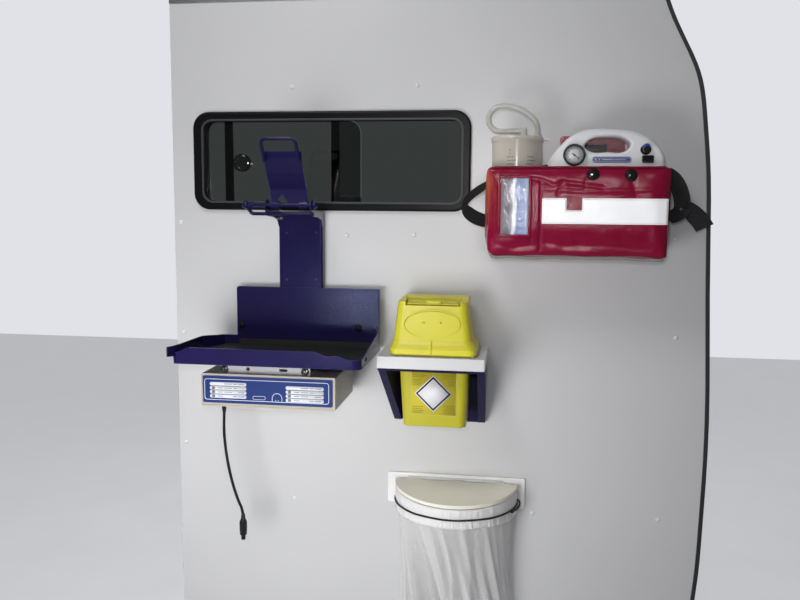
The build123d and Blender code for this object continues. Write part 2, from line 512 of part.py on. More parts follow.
# Suction unit's moulded housing: arched top drawn as a curve, hand grip through it, edges rounded
arch = Spline((500, -64, 1500), (497, -64, 1521), (482, -64, 1543), (453, -64, 1563), (385, -64, 1574.5),
              (317, -64, 1566), (288, -64, 1543), (266, -64, 1515), (258, -64, 1500))
base = Polyline((258, -64, 1500), (258, -64, 1342), (500, -64, 1342), (500, -64, 1500))
shell = extrude(make_face(arch + base), amount=HOUSING_OUT - 64, dir=(0, -1, 0))
arch_edge = [e for e in shell.edges() if e.length > 300 and e.center().Y < -100]
shell = fillet(arch_edge, HOUSING_EDGE)
grip = Spline((336, -40, 1541), (351, -40, 1554.5), (382, -40, 1558.5), (417, -40, 1554), (429, -40, 1541),
              (418, -40, 1528), (382, -40, 1526), (346, -40, 1528), periodic=True)
shell -= extrude(make_face(grip), amount=110, dir=(0, -1, 0))
mouth = [e for e in shell.edges() if 90 < e.bounding_box().size.X < 100 and e.center().Y < -100]
shell = fillet(mouth, 5)
nodes["suction_housing"] = shell
front = HOUSING_OUT
ring_r = GAUGE["radius"]
bezel = [(0, front), (ring_r, front), (ring_r, front + 9), (ring_r - 2, front + 12), (ring_r - 4, front + 12),
         (ring_r - 5, front + 7), (0, front + 7)]
nodes["suction_gauge"] = turned(bezel, GAUGE["x"], GAUGE["z"])
nodes["suction_label"] = pad(351, 431, 1504.5, 1516.5, 5.9, front, front + 1)
rocker = [(front, 1505.5), (front + 3, 1505.5), (front + 6, 1507), (front + 3.5, 1512), (front + 4.5, 1517.5),
          (front, 1517.5)]
nodes["suction_switch"] = pad(452, 476, 1504, 1519, 2, front, front + 2) + across(rocker, 454, 474)
knob_r = KNOB["radius"]
knob_profile = [(0, front), (knob_r, front), (knob_r, front + 3), (knob_r - 3, front + 5),
                (knob_r - 5, front + 16), (0, front + 16)]
knob = turned(knob_profile, KNOB["x"], KNOB["z"])
for i in range(KNOB["notches"]):
    angle = 2 * pi * i / KNOB["notches"]
    notch_x, notch_z = KNOB["x"] + (knob_r - 0.5) * cos(angle), KNOB["z"] + (knob_r - 0.5) * sin(angle)
    knob -= rod_y(notch_x, notch_z, front + 4, front + 20, 2.8)
nodes["suction_knob"] = knob
jar_profile = [(0, JAR_FOOT), (JAR_R - 6, JAR_FOOT), (JAR_R - 3, JAR_FOOT + 4), (JAR_R, 1500), (JAR_R, 1549),
               (JAR_R + 2, 1549), (JAR_R + 2, 1553), (JAR_R - 2.5, 1553), (JAR_R - 2.5, 1500),
               (JAR_R - 5.5, JAR_FOOT + 6), (JAR_R - 8, JAR_FOOT + 3), (0, JAR_FOOT + 3)]
nodes["suction_jar"] = turned_upright(jar_profile, JAR_X, JAR_OUT)
cap_profile = [(0, 1553), (JAR_R + 2, 1553), (JAR_R + 2.5, 1555), (JAR_R + 1, 1560), (JAR_R - 5, 1560),
               (JAR_R - 7, 1557.5), (0, 1557.5)]
plug_profile = [(JAR_R - 8, 1546), (JAR_R - 3, 1546), (JAR_R - 3, 1554), (JAR_R - 8, 1554)]
cap = turned_upright(cap_profile, JAR_X, JAR_OUT) + turned_upright(plug_profile, JAR_X, JAR_OUT)
cap += slab(JAR_X + JAR_R - 4, 262, JAR_OUT - 5, JAR_OUT + 5, 1554, 1558)
cap += rod_z(208, JAR_OUT, 1556, 1580, 7) + rod_x(196, 208, JAR_OUT, HOSE_Z, 5.5)
cap += rod_z(238, JAR_OUT, 1556, 1567, 8)
nodes["jar_lid"] = cap
hose_path = route(HOSE_ROUTE, JAR_OUT)
hose = along(hose_path, HOSE_R)
hose_volume = pi * HOSE_R ** 2 * hose_path.length
print("hose", round(hose_path.length), "mm, volume ratio", hose.volume / hose_volume)
nodes["suction_hose"] = hose
loop_outline = [(132.9, 1462), (94, 1442), (78, 1421), (82, 1406), (95, 1386), (96, 1373), (132.9, 1361)]
loop_hole = [(103, 1435), (93, 1411), (106, 1413), (118, 1402), (112, 1425)]
nodes["strap_left"] = raised(loop_outline, 66, 72) - raised(loop_hole, 60, 80)
tail_outline = [(511.1, 1493), (536, 1477), (550, 1461), (554, 1425), (567, 1422), (593, 1398), (610, 1370),
                (569, 1359), (559, 1378), (543, 1390), (511.1, 1394)]
nodes["strap_right"] = raised(tail_outline, 77, 83)
nodes["suction_wall_bracket"] = pad(200, 450, 1335, 1475, 8, 0, k["out0"])

os.makedirs("parts", exist_ok=True)
for name, shape in nodes.items():
    export_step(shape, f"parts/{name}.step")
print(len(nodes), "nodes")
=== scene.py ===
"""The fitted front wall of an ambulance saloon.

It carries a window, a monitor bracket, a charger, a sharps bin, a bag holder and a suction unit.
"""

import json
import math

import bmesh
import bpy
from mathutils import Matrix, Vector, noise
from mathutils.bvhtree import BVHTree
from mathutils.interpolate import poly_3d_calc


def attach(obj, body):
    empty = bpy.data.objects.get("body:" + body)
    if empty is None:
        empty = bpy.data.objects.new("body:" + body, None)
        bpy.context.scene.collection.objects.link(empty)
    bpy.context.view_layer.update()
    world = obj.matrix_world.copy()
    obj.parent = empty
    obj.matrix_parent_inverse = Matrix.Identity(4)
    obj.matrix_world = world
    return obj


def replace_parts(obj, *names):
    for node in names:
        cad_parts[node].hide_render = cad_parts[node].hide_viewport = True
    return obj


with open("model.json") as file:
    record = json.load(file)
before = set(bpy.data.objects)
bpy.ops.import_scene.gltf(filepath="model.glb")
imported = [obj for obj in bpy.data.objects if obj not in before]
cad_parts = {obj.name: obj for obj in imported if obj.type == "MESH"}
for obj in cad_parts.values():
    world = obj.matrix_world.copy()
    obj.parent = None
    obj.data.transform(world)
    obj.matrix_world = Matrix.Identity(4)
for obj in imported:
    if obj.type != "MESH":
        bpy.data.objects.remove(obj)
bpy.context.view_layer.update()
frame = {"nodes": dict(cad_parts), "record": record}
nodes = frame["nodes"]
scene = bpy.context.scene
MM = 0.001
OUTWARD = (0, -1, 0)
# The thread's share of a stitch's pitch, and the points in each span of a smooth path
STITCH_SHARE = 0.6
SPAN_POINTS = 6


# Small makers' tools

def vec(x, out, z):
    """A point given in millimetres: along the wall, out from it, and up."""
    return Vector((x * MM, -out * MM, z * MM))


def in_mm(spot):
    """How far a point is along the wall, out from it and up, in millimetres."""
    return spot.x / MM, -spot.y / MM, spot.z / MM


def on_bed(x, z, lift, bed=None):
    """A point lifted off the surface that bed() gives, or off the plane of the wall."""
    return vec(x, lift + (bed(x, z) if bed else 0.0), z)


def waver(*spot):
    """A smooth irregular value, always the same at the same place."""
    return noise.noise(Vector(spot))


def steps(start, end, pitch):
    """Evenly spaced values from start to end, about one pitch apart."""
    count = max(1, round((end - start) / pitch))
    return [start + (end - start) * i / count for i in range(count + 1)]


def add_object(name, data):
    """Puts a mesh, curve, lamp or camera into the scene."""
    item = bpy.data.objects.new(name, data)
    scene.collection.objects.link(item)
    return item


def mount(piece, body):
    """Makes a piece ride on a body."""
    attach(piece, body)
    return piece


def place(name, mesh, material, body="wall"):
    """Puts a finished mesh into the scene on a body, with its material."""
    piece = add_object(name, mesh)
    mesh.materials.clear()
    mesh.materials.append(material)
    for face in mesh.polygons:
        face.use_smooth = True
    return mount(piece, body)


def mesh_of(name, bm):
    """Turns a finished bmesh into a mesh."""
    mesh = bpy.data.meshes.new(name)
    bm.to_mesh(mesh)
    bm.free()
    return mesh


def settle(name, bm, material, body="wall", bevel=0.0, solid=0.0):
    """Turns a finished bmesh into a piece, with its wall thickness and the rounding of its edges."""
    piece = place(name, mesh_of(name, bm), material, body)
    if solid:
        thick = piece.modifiers.new("wall", "SOLIDIFY")
        thick.thickness = solid
        thick.offset = 0
    if bevel:
        rounding = piece.modifiers.new("rounding", "BEVEL")
        rounding.width = bevel
        rounding.segments = 2
        rounding.limit_method = "ANGLE"
        rounding.angle_limit = math.radians(40)
    return piece


def work_in(piece):
    """Works a piece's modifiers into its mesh."""
    graph = bpy.context.evaluated_depsgraph_get()
    graph.update()
    piece.data = bpy.data.meshes.new_from_object(piece.evaluated_get(graph))
    piece.modifiers.clear()


def surface_tree(mesh):
    """A mesh's faces, ready to be searched for the nearest one or for the one that a ray hits."""
    return BVHTree.FromPolygons([v.co for v in mesh.vertices], [p.vertices for p in mesh.polygons])


def round_spot(x, z, radius, angle):
    """A point on a circle that lies parallel to the wall."""
    return x + radius * math.cos(angle), z + radius * math.sin(angle)


def rounded(x0, x1, z0, z1, radius, per_corner=5):
    """The outline of a rounded rectangle, anticlockwise."""
    spots = []
    for cx, cz, start in ((x1 - radius, z1 - radius, 0), (x0 + radius, z1 - radius, 90),
                          (x0 + radius, z0 + radius, 180), (x1 - radius, z0 + radius, 270)):
        for i in range(per_corner + 1):
            spots.append(round_spot(cx, cz, radius, math.radians(start + 90 * i / per_corner)))
    return spots


def prism(outlines, out0, out1, bed=None):
    """Outlines in (X, Z), raised from out0 to out1 over the surface that bed() gives."""
    bm = bmesh.new()
    for outline in outlines:
        base = bm.faces.new([bm.verts.new(on_bed(x, z, out0, bed)) for x, z in outline])
        grown = bmesh.ops.extrude_face_region(bm, geom=[base])
        lifted = [v for v in grown["geom"] if isinstance(v, bmesh.types.BMVert)]
        bmesh.ops.translate(bm, verts=lifted, vec=(0, (out0 - out1) * MM, 0))
    bmesh.ops.recalc_face_normals(bm, faces=bm.faces)
    return bm


def join_rows(bm, rows, closed=False):
    """Faces between each row of vertices and the next, all the way round where the rows are closed."""
    count = len(rows[0])
    for row, other in zip(rows, rows[1:]):
        for i in range(count if closed else count - 1):
            k = (i + 1) % count
            bm.faces.new((row[i], row[k], other[k], other[i]))


def frame_strip(outer, inner, out0, out1, bed=None):
    """The band between two outlines of equal length, raised from out0 to out1."""
    bm = bmesh.new()
    rings = []
    for outline, out in ((outer, out0), (outer, out1), (inner, out1), (inner, out0)):
        rings.append([bm.verts.new(on_bed(x, z, out, bed)) for x, z in outline])
    join_rows(bm, rings + rings[:1], closed=True)
    bmesh.ops.recalc_face_normals(bm, faces=bm.faces)
    return bm


def rim(box, radius, width, out0, out1, bed=None, inner_radius=None):
    """A band of one width just inside a rounded rectangle; box is its X and Z limits."""
    x0, x1, z0, z1 = box
    inner_radius = inner_radius or radius - width
    inner = rounded(x0 + width, x1 - width, z0 + width, z1 - width, inner_radius)
    return frame_strip(rounded(x0, x1, z0, z1, radius), inner, out0, out1, bed)


def lathe(profile, centre, axis=OUTWARD, sides=32, bm=None):
    """A turned form: (radius, distance along the axis) in millimetres, starting and ending on the axis."""
    bm = bm or bmesh.new()
    along = Vector(axis).normalized()
    side = along.orthogonal().normalized()
    verts = [bm.verts.new(centre + (side * r + along * a) * MM) for r, a in profile]
    edges = [bm.edges.new(pair) for pair in zip(verts, verts[1:])]
    bmesh.ops.spin(bm, geom=verts + edges, cent=centre, axis=along, angle=math.tau, steps=sides,
                   use_merge=True)
    bmesh.ops.remove_doubles(bm, verts=bm.verts, dist=1e-6)
    bmesh.ops.recalc_face_normals(bm, faces=bm.faces)
    return bm


def round_curve(name, kind, runs, radius, sides, material):
    """Curve data with one round section, and a spline for each run of points."""
    data = bpy.data.curves.new(name, "CURVE")
    data.dimensions = "3D"
    data.bevel_depth = radius * MM
    data.bevel_resolution = sides
    data.use_fill_caps = True
    for run in runs:
        spline = data.splines.new(kind)
        spline.points.add(len(run) - 1)
        for point, spot in zip(spline.points, run):
            point.co = (*spot, 1)
        spline.use_smooth = True
    data.materials.append(material)
    return data


def wires(name, runs, radius, material, sides=3):
    """Thin round runs, such as piping or stitches: each run is a list of points."""
    data = round_curve(name, "POLY", runs, radius, sides, material)
    return mount(add_object(name, data), "wall")


def stitch_runs(path, pitch):
    """Cuts a path of points into stitches of one pitch with gaps between them."""
    runs = []
    for start, end in zip(path, path[1:]):
        span = (end - start).length
        count = max(1, round(span / (pitch * MM)))
        for i in range(count):
            runs.append([start.lerp(end, i / count), start.lerp(end, (i + STITCH_SHARE) / count)])
    return runs


def smooth_path(points):
    """A Catmull-Rom path through the points."""
    path = []
    ends = [points[0]] + list(points) + [points[-1]]
    for a, b, c, d in zip(ends, ends[1:], ends[2:], ends[3:]):
        for i in range(SPAN_POINTS):
            t = i / SPAN_POINTS
            path.append(0.5 * (2 * b + (c - a) * t + (2 * a - 5 * b + 4 * c - d) * t * t
                               + (3 * b - a - 3 * c + d) * t * t * t))
    return path + [points[-1]]


# Shader nodes and the groups that several finishes share

def add_node(tree, kind, sockets=None, **settings):
    """A shader node; each socket gets a value, or is linked to the output that is given for it."""
    node = tree.nodes.new("ShaderNode" + kind)
    for name, value in settings.items():
        setattr(node, name, value)
    for socket, value in (sockets or {}).items():
        if isinstance(value, bpy.types.NodeSocket):
            tree.links.new(value, node.inputs[socket])
        else:
            node.inputs[socket].default_value = value
    return node


def times(tree, first, second):
    """The product of two values."""
    return add_node(tree, "Math", {0: first, 1: second}, operation="MULTIPLY").outputs[0]


def plus(tree, first, second, **settings):
    """The sum of two values."""
    return add_node(tree, "Math", {0: first, 1: second}, **settings).outputs[0]


def graded(tree, value, low, high, start=0.0, end=1.0):
    """A value stretched so that low becomes start and high becomes end, and held between them."""
    limits = {"From Min": low, "From Max": high, "To Min": start, "To Max": end}
    return add_node(tree, "MapRange", {"Value": value, **limits}).outputs["Result"]


def mixed(tree, factor, first, second):
    """A colour between two others."""
    return add_node(tree, "Mix", {"Factor": factor, 6: first, 7: second}, data_type="RGBA").outputs[2]


def own_place(tree):
    """Where a point is in the object's own space."""
    return add_node(tree, "TexCoord").outputs["Object"]


def new_group(name, inputs, outputs):
    """A shader group, its input sockets with their defaults, and its output sockets with their kinds."""
    group = bpy.data.node_groups.new(name, "ShaderNodeTree")
    for label, default in inputs.items():
        kind = "NodeSocketColor" if isinstance(default, tuple) else "NodeSocketFloat"
        socket = group.interface.new_socket(label, in_out="INPUT", socket_type=kind)
        socket.default_value = default
    for label, kind in outputs.items():
        group.interface.new_socket(label, in_out="OUTPUT", socket_type=kind)
    return group, group.nodes.new("NodeGroupInput").outputs, group.nodes.new("NodeGroupOutput").inputs


def mottle_group():
    """A colour that drifts between itself and a second one, in soft patches and fine specks."""
    group, given, result = new_group(
        "mottle",
        {"Colour": (0.8, 0.8, 0.8, 1), "Second": (0.6, 0.6, 0.6, 1), "Scale": 4.0, "Share": 0.5,
         "Specks": 0.1},
        {"Color": "NodeSocketColor"})
    spot = own_place(group)
    broad = add_node(group, "TexNoise", {"Vector": spot, "Scale": given["Scale"], "Detail": 5})
    fine = add_node(group, "TexNoise", {"Vector": spot, "Scale": 420, "Detail": 2})
    patches = times(group, graded(group, broad.outputs["Fac"], 0.38, 0.68), given["Share"])
    specks = times(group, fine.outputs["Fac"], given["Specks"])
    mask = plus(group, patches, specks, use_clamp=True)
    group.links.new(mixed(group, mask, given["Colour"], given["Second"]), result["Color"])
    return group


def skin_group():
    """The relief of a surface: a fine peel and long scratches, as one height, and a worn patch mask."""
    group, given, result = new_group(
        "skin",
        {"Peel Scale": 600.0, "Peel": 0.5, "Scratch Scale": 30.0, "Scratch": 0.3, "Wave Scale": 6.0,
         "Wave": 0.0},
        {"Height": "NodeSocketFloat", "Worn": "NodeSocketFloat"})
    spot = own_place(group)
    drawn = add_node(group, "Mapping", {"Vector": spot, "Scale": (1, 1, 9), "Rotation": (0.3, 0.9, 0.2)})
    heights = {}
    for layer, where, detail, rough in (("Peel", spot, 2, 0.5), ("Scratch", drawn.outputs["Vector"], 6, 0.7),
                                        ("Wave", spot, 2, 0.5)):
        heights[layer] = add_node(group, "TexNoise", {"Vector": where, "Scale": given[layer + " Scale"],
                                                      "Detail": detail, "Roughness": rough}).outputs["Fac"]
    peel, scratch, wave = [times(group, height, given[layer]) for layer, height in heights.items()]
    group.links.new(plus(group, plus(group, peel, scratch), wave), result["Height"])
    group.links.new(graded(group, heights["Scratch"], 0.55, 0.72), result["Worn"])
    return group


MOTTLE = mottle_group()
SKIN = skin_group()


def finish(name, colour, second=None, rough=(0.35, 0.5), metallic=0.0, scale=4.0, share=0.5, specks=0.1,
           peel=(600.0, 0.5), scratch=(30.0, 0.2), wave=(6.0, 0.0), bump=0.1, round_edge=0.0,
           painted_edge_highlight=None, **sockets):
    """A surface finish: drifting colour, roughness between two values, relief, softened edges, and a painted
    highlight lightening the edges where one is given.
    """
    second = second or tuple(c * 0.8 for c in colour)
    material = bpy.data.materials.new(name)
    material.use_nodes = True
    tree = material.node_tree
    shader = tree.nodes["Principled BSDF"]
    shader.inputs["Metallic"].default_value = metallic
    for label, value in sockets.items():
        shader.inputs[label.replace("_", " ").title().replace("Ior", "IOR")].default_value = value
    drift = add_node(tree, "Group", node_tree=MOTTLE, sockets={
        "Colour": (*colour, 1), "Second": (*second, 1), "Scale": scale, "Share": share, "Specks": specks})
    skin = add_node(tree, "Group", node_tree=SKIN, sockets={
        "Peel Scale": peel[0], "Peel": peel[1], "Scratch Scale": scratch[0], "Scratch": scratch[1],
        "Wave Scale": wave[0], "Wave": wave[1]})
    tint = drift.outputs["Color"]
    relief = add_node(tree, "Bump", {"Height": skin.outputs["Height"], "Strength": bump, "Distance": 0.001})
    if round_edge:
        edge = add_node(tree, "Bevel", {"Radius": round_edge}, samples=4).outputs["Normal"]
        tree.links.new(edge, relief.inputs["Normal"])
    # Lightens the colour where the rounded edge normal turns away from the face: a painted edge highlight
    if painted_edge_highlight:
        flat = add_node(tree, "NewGeometry").outputs["True Normal"]
        turn = add_node(tree, "VectorMath", {0: edge, 1: flat}, operation="DOT_PRODUCT").outputs["Value"]
        tint = mixed(tree, graded(tree, turn, 0.985, 0.90), tint, (*painted_edge_highlight, 1))
    tree.links.new(tint, shader.inputs["Base Color"])
    tree.links.new(graded(tree, skin.outputs["Worn"], 0, 1, *rough), shader.inputs["Roughness"])
    tree.links.new(relief.outputs["Normal"], shader.inputs["Normal"])
    return material


def see_through(name, colour, alpha, edge_alpha=0.9, rough=0.1, **more):
    """A translucent plastic film or wall, milkier where it is seen edge on."""
    material = finish(name, colour, rough=(rough, rough + 0.12), **more)
    tree = material.node_tree
    facing = add_node(tree, "LayerWeight", {"Blend": 0.4}).outputs["Facing"]
    cover = graded(tree, facing, 0, 1, alpha, edge_alpha)
    tree.links.new(cover, tree.nodes["Principled BSDF"].inputs["Alpha"])
    return material


def banded(material, x0, x1, sway, bands):
    """Gives a material upright bands from x0 to x1, each (share, colour), that sway by so many metres."""
    tree = material.node_tree
    spot = own_place(tree)
    drift = add_node(tree, "TexNoise", {"Vector": spot, "Scale": 26}).outputs["Fac"]
    along = add_node(tree, "SeparateXYZ", {"Vector": spot}).outputs["X"]
    bent = add_node(tree, "Math", {0: drift, 1: sway, 2: along}, operation="MULTIPLY_ADD").outputs[0]
    ramp = add_node(tree, "ValToRGB", {"Fac": graded(tree, bent, x0 * MM + sway / 2, x1 * MM + sway / 2)})
    stops = ramp.color_ramp.elements
    for share, colour in bands[1:-1]:
        stops.new(share).color = (*colour, 1)
    for end in (0, -1):
        stops[end].color = (*bands[end][1], 1)
    tree.links.new(ramp.outputs["Color"], tree.nodes["Principled BSDF"].inputs["Base Color"])


def painted_warm_reflection(material, colour, low, high):
    """Paints a reflection of warm light into a finish on faces that look left, fading in from one height to
    another.
    """
    tree = material.node_tree
    base = tree.nodes["Principled BSDF"].inputs["Base Color"]
    normal = add_node(tree, "NewGeometry").outputs["Normal"]
    left = add_node(tree, "SeparateXYZ", {"Vector": normal}).outputs["X"]
    up = add_node(tree, "SeparateXYZ", {"Vector": own_place(tree)}).outputs["Z"]
    share = times(tree, graded(tree, left, -0.25, -0.75), graded(tree, up, low, high))
    tree.links.new(mixed(tree, share, base.links[0].from_socket, (*colour, 1)), base)


# Finishes

PANE_LEFT, PANE_RIGHT = 165, 222

panel_white = finish("panel_white", (0.63, 0.63, 0.64), (0.58, 0.585, 0.60), rough=(0.32, 0.45), scale=2.2,
                     share=0.35, specks=0.05, peel=(350.0, 0.5), wave=(9.0, 1.2), bump=0.08)
lining_grey = finish("lining_grey", (0.34, 0.35, 0.37), rough=(0.55, 0.7), peel=(900.0, 1.0), bump=0.3)
seal_rubber = finish("seal_rubber", (0.03, 0.03, 0.034), rough=(0.5, 0.7), bump=0.15)
rail_aluminium = finish("rail_aluminium", (0.62, 0.63, 0.64), (0.5, 0.51, 0.53), rough=(0.28, 0.42),
                        metallic=1.0, scratch=(60.0, 0.8), bump=0.1)
frame_black = finish("frame_black", (0.005, 0.005, 0.006), rough=(0.36, 0.48), round_edge=0.002,
                     specular_ior_level=0.2)
# Its edge colour paints a highlight along the sheet edges
navy_coat = finish("navy_coat", (0.012, 0.0085, 0.058), (0.015, 0.011, 0.072), rough=(0.14, 0.19), scale=11.0,
                   share=0.6, peel=(300.0, 1.0), scratch=(12.0, 0.04), bump=0.26, round_edge=0.0015,
                   painted_edge_highlight=(0.07, 0.06, 0.20), specular_ior_level=0.4)
# Its edge colour paints a highlight along the board edges
navy_board = finish("navy_board", (0.008, 0.007, 0.040), (0.012, 0.010, 0.055), rough=(0.45, 0.6), scale=16.0,
                    peel=(700.0, 0.9), bump=0.16, round_edge=0.001, painted_edge_highlight=(0.03, 0.025, 0.09),
                    specular_ior_level=0.25)
mat_rubber = finish("mat_rubber", (0.005, 0.005, 0.005), (0.012, 0.012, 0.012), rough=(0.7, 0.85), specks=0.5,
                    peel=(1200.0, 1.0), bump=0.5)
black_plastic = finish("black_plastic", (0.010, 0.010, 0.011), rough=(0.14, 0.22), round_edge=0.001)
stop_grey = finish("stop_grey", (0.16, 0.16, 0.17), rough=(0.5, 0.6))
charger_shell = finish("charger_shell", (0.46, 0.43, 0.36), (0.415, 0.385, 0.31), rough=(0.4, 0.55),
                       peel=(1500.0, 0.8), bump=0.15, round_edge=0.001)
fascia_blue = finish("fascia_blue", (0.009, 0.033, 0.180), rough=(0.3, 0.4), peel=(1800.0, 0.6), bump=0.1,
                     specular_ior_level=0.3)
shelf_white = finish("shelf_white", (0.68, 0.68, 0.69), rough=(0.35, 0.5), round_edge=0.0015)
bin_yellow = finish("bin_yellow", (0.70, 0.65, 0.04), (0.63, 0.57, 0.025), rough=(0.3, 0.42), scale=14.0,
                    peel=(900.0, 0.7), bump=0.14, round_edge=0.0015)
# A darker copy of the bin's yellow for its body: painted shade
bin_body_painted_shade = finish("bin_body_painted_shade", (0.50, 0.46, 0.028), (0.44, 0.39, 0.018), rough=(0.3, 0.42), scale=14.0,
                   peel=(900.0, 0.7), bump=0.14, round_edge=0.0015)
holder_white = finish("holder_white", (0.88, 0.88, 0.87), rough=(0.35, 0.5), round_edge=0.001)
holder_cream = finish("holder_cream", (0.86, 0.82, 0.69), (0.89, 0.86, 0.75), rough=(0.4, 0.5), scale=9.0)
elastic_black = finish("elastic_black", (0.012, 0.012, 0.012), rough=(0.6, 0.8))
housing_white = finish("housing_white", (0.74, 0.75, 0.77), (0.68, 0.69, 0.72), rough=(0.3, 0.42), scale=12.0,
                       peel=(1100.0, 0.7), bump=0.12, round_edge=0.003)
case_vinyl = finish("case_vinyl", (0.23, 0.002, 0.026), (0.28, 0.004, 0.044), rough=(0.20, 0.27), scale=9.0,
                    share=0.7, peel=(1300.0, 0.8), wave=(26.0, 1.0), bump=0.25, specular_ior_level=0.4)
# Painted reflection of warm light on the case's left-facing faces, towards its top
painted_warm_reflection(case_vinyl, (0.52, 0.12, 0.06), 1.36, 1.46)
grey_binding = finish("grey_binding", (0.22, 0.21, 0.20), (0.30, 0.29, 0.27), rough=(0.5, 0.7), specks=0.4,
                      peel=(1500.0, 1.0), bump=0.4)
patch_grey = finish("patch_grey", (0.22, 0.21, 0.21), rough=(0.5, 0.6))
gauge_glass = see_through("gauge_glass", (0.80, 0.85, 0.90), 0.05, 0.2, rough=0.04)
thread_red = finish("thread_red", (0.10, 0.003, 0.010), rough=(0.6, 0.8), specks=0.4)
screw_white = finish("screw_white", (0.80, 0.80, 0.80), rough=(0.25, 0.35))
steel = finish("steel", (0.55, 0.55, 0.57), (0.35, 0.35, 0.37), rough=(0.2, 0.35), metallic=1.0, scale=40.0)
print_white = finish("print_white", (0.80, 0.82, 0.86), (0.72, 0.75, 0.80), rough=(0.35, 0.5), scale=60.0)
print_navy = finish("print_navy", (0.010, 0.007, 0.035), rough=(0.5, 0.6), specular_ior_level=0.3)
label_paper = finish("label_paper", (0.62, 0.53, 0.048), (0.56, 0.47, 0.035), rough=(0.32, 0.45), scale=22.0)
label_white = finish("label_white", (0.82, 0.82, 0.84), (0.78, 0.78, 0.80), rough=(0.45, 0.6), scale=22.0)
label_pale = finish("label_pale", (0.66, 0.62, 0.22))
rule_olive = finish("rule_olive", (0.20, 0.17, 0.02))
dial_white = finish("dial_white", (0.84, 0.85, 0.85), rough=(0.3, 0.4))
knob_blue = finish("knob_blue", (0.03, 0.07, 0.36), rough=(0.2, 0.3))
gasket_grey = finish("gasket_grey", (0.045, 0.045, 0.05), rough=(0.45, 0.6))
# A glowing pale line: a painted highlight on the sliding pane's edge
painted_edge_glow = finish("painted_edge_glow", (0.6, 0.66, 0.58), emission_color=(0.8, 0.9, 0.7, 1), emission_strength=0.35)
# The band's glow is a painted reflection: it stands for the flash thrown back by the reflective tape
reflective_band = finish("reflective_band", (0.90, 0.90, 0.91), (0.86, 0.86, 0.89), rough=(0.35, 0.45),
                         peel=(2500.0, 0.8), bump=0.1, emission_color=(0.95, 0.97, 1.0, 1),
                         emission_strength=0.26)
label_blue = finish("label_blue", (0.03, 0.05, 0.26), rough=(0.3, 0.4))
strap_black = finish("strap_black", (0.004, 0.004, 0.005), (0.009, 0.009, 0.010), rough=(0.7, 0.9), bump=0.4)
lead_black = finish("lead_black", (0.012, 0.012, 0.013), rough=(0.35, 0.5))
vinyl_clear = see_through("vinyl_clear", (0.30, 0.36, 0.50), 0.92, rough=0.1, wave=(34.0, 6.0), bump=0.5)
# The near-white bands paint a highlight streak down the clear window; the bands beside them darken and tint
# it
banded(vinyl_clear, PANE_LEFT, PANE_RIGHT, 0.016, [
    (0.0, (0.26, 0.25, 0.28)), (0.25, (0.20, 0.19, 0.22)), (0.38, (0.34, 0.34, 0.40)),
    (0.43, (0.92, 0.94, 1.0)), (0.50, (0.92, 0.94, 1.0)), (0.57, (0.30, 0.36, 0.56)),
    (0.85, (0.34, 0.42, 0.70)), (1.0, (0.60, 0.64, 0.78))])
jar_clear = see_through("jar_clear", (0.84, 0.79, 0.70), 0.42, rough=0.16)
hose_clear = see_through("hose_clear", (0.66, 0.66, 0.61), 0.60, rough=0.14)
bag_film = see_through("bag_film", (0.90, 0.90, 0.90), 0.16, 0.95, rough=0.2, peel=(900.0, 0.1),
                       scratch=(30.0, 0.0), wave=(16.0, 1.5), bump=0.3)
cuff_film = see_through("cuff_film", (0.90, 0.89, 0.89), 0.80, 1.0, rough=0.14, scratch=(30.0, 0.0),
                        wave=(60.0, 3.0), bump=0.6)
strip_aluminium = finish("strip_aluminium", (0.42, 0.42, 0.44), (0.36, 0.36, 0.38), rough=(0.35, 0.5),
                         metallic=0.15, scratch=(60.0, 0.8), bump=0.1)

window_glass = bpy.data.materials.new("window_glass")
window_glass.use_nodes = True
glass_sockets = window_glass.node_tree.nodes["Principled BSDF"].inputs
glass_sockets["Base Color"].default_value = (0.25, 0.28, 0.255, 1)
glass_sockets["Roughness"].default_value = 0.03
glass_sockets["Transmission Weight"].default_value = 1.0
glass_sockets["IOR"].default_value = 1.45

FINISH_OF_SLOT = {
    "panel_white": panel_white, "lining_grey": lining_grey, "seal_rubber": seal_rubber,
    "rail_aluminium": rail_aluminium, "frame_black": frame_black, "window_glass": window_glass,
    "knob_black": black_plastic, "stop_grey": stop_grey, "bracket_navy": navy_coat, "mat_rubber": mat_rubber,
    "bolt_black": black_plastic, "charger_cream": charger_shell, "fascia_blue": fascia_blue,
    "lead_black": lead_black, "shelf_white": shelf_white, "board_navy": navy_board, "bin_yellow": bin_yellow,
    "holder_white": holder_white, "holder_cream": holder_cream, "elastic_black": elastic_black,
    "bag_film": bag_film, "case_red": case_vinyl, "band_reflective": reflective_band,
    "vinyl_clear": vinyl_clear, "housing_white": housing_white, "gauge_black": black_plastic,
    "label_blue": label_blue, "jar_clear": jar_clear, "hose_clear": hose_clear, "strap_black": strap_black,
}
for part in frame["record"]["subparts"]:
    mesh = nodes[part["node"]].data
    mesh.materials.clear()
    mesh.materials.append(FINISH_OF_SLOT[part["material_slot"]])
nodes["charger_strip"].data.materials[0] = strip_aluminium
# The body takes the darker copy of the yellow, a painted shade
nodes["sharps_bin_body"].data.materials[0] = bin_body_painted_shade


# Camera and light

VIEW_YAW, VIEW_PITCH, VIEW_ROLL = math.radians(8.33), math.radians(6.83), math.radians(-0.43)
VIEW_SPOT = Vector((0.20767, -1.900, 1.420))
SENSOR_WIDTH = 36.0
# The lens's length as a share of the picture's width
LENS_SHARE = 820 / 800


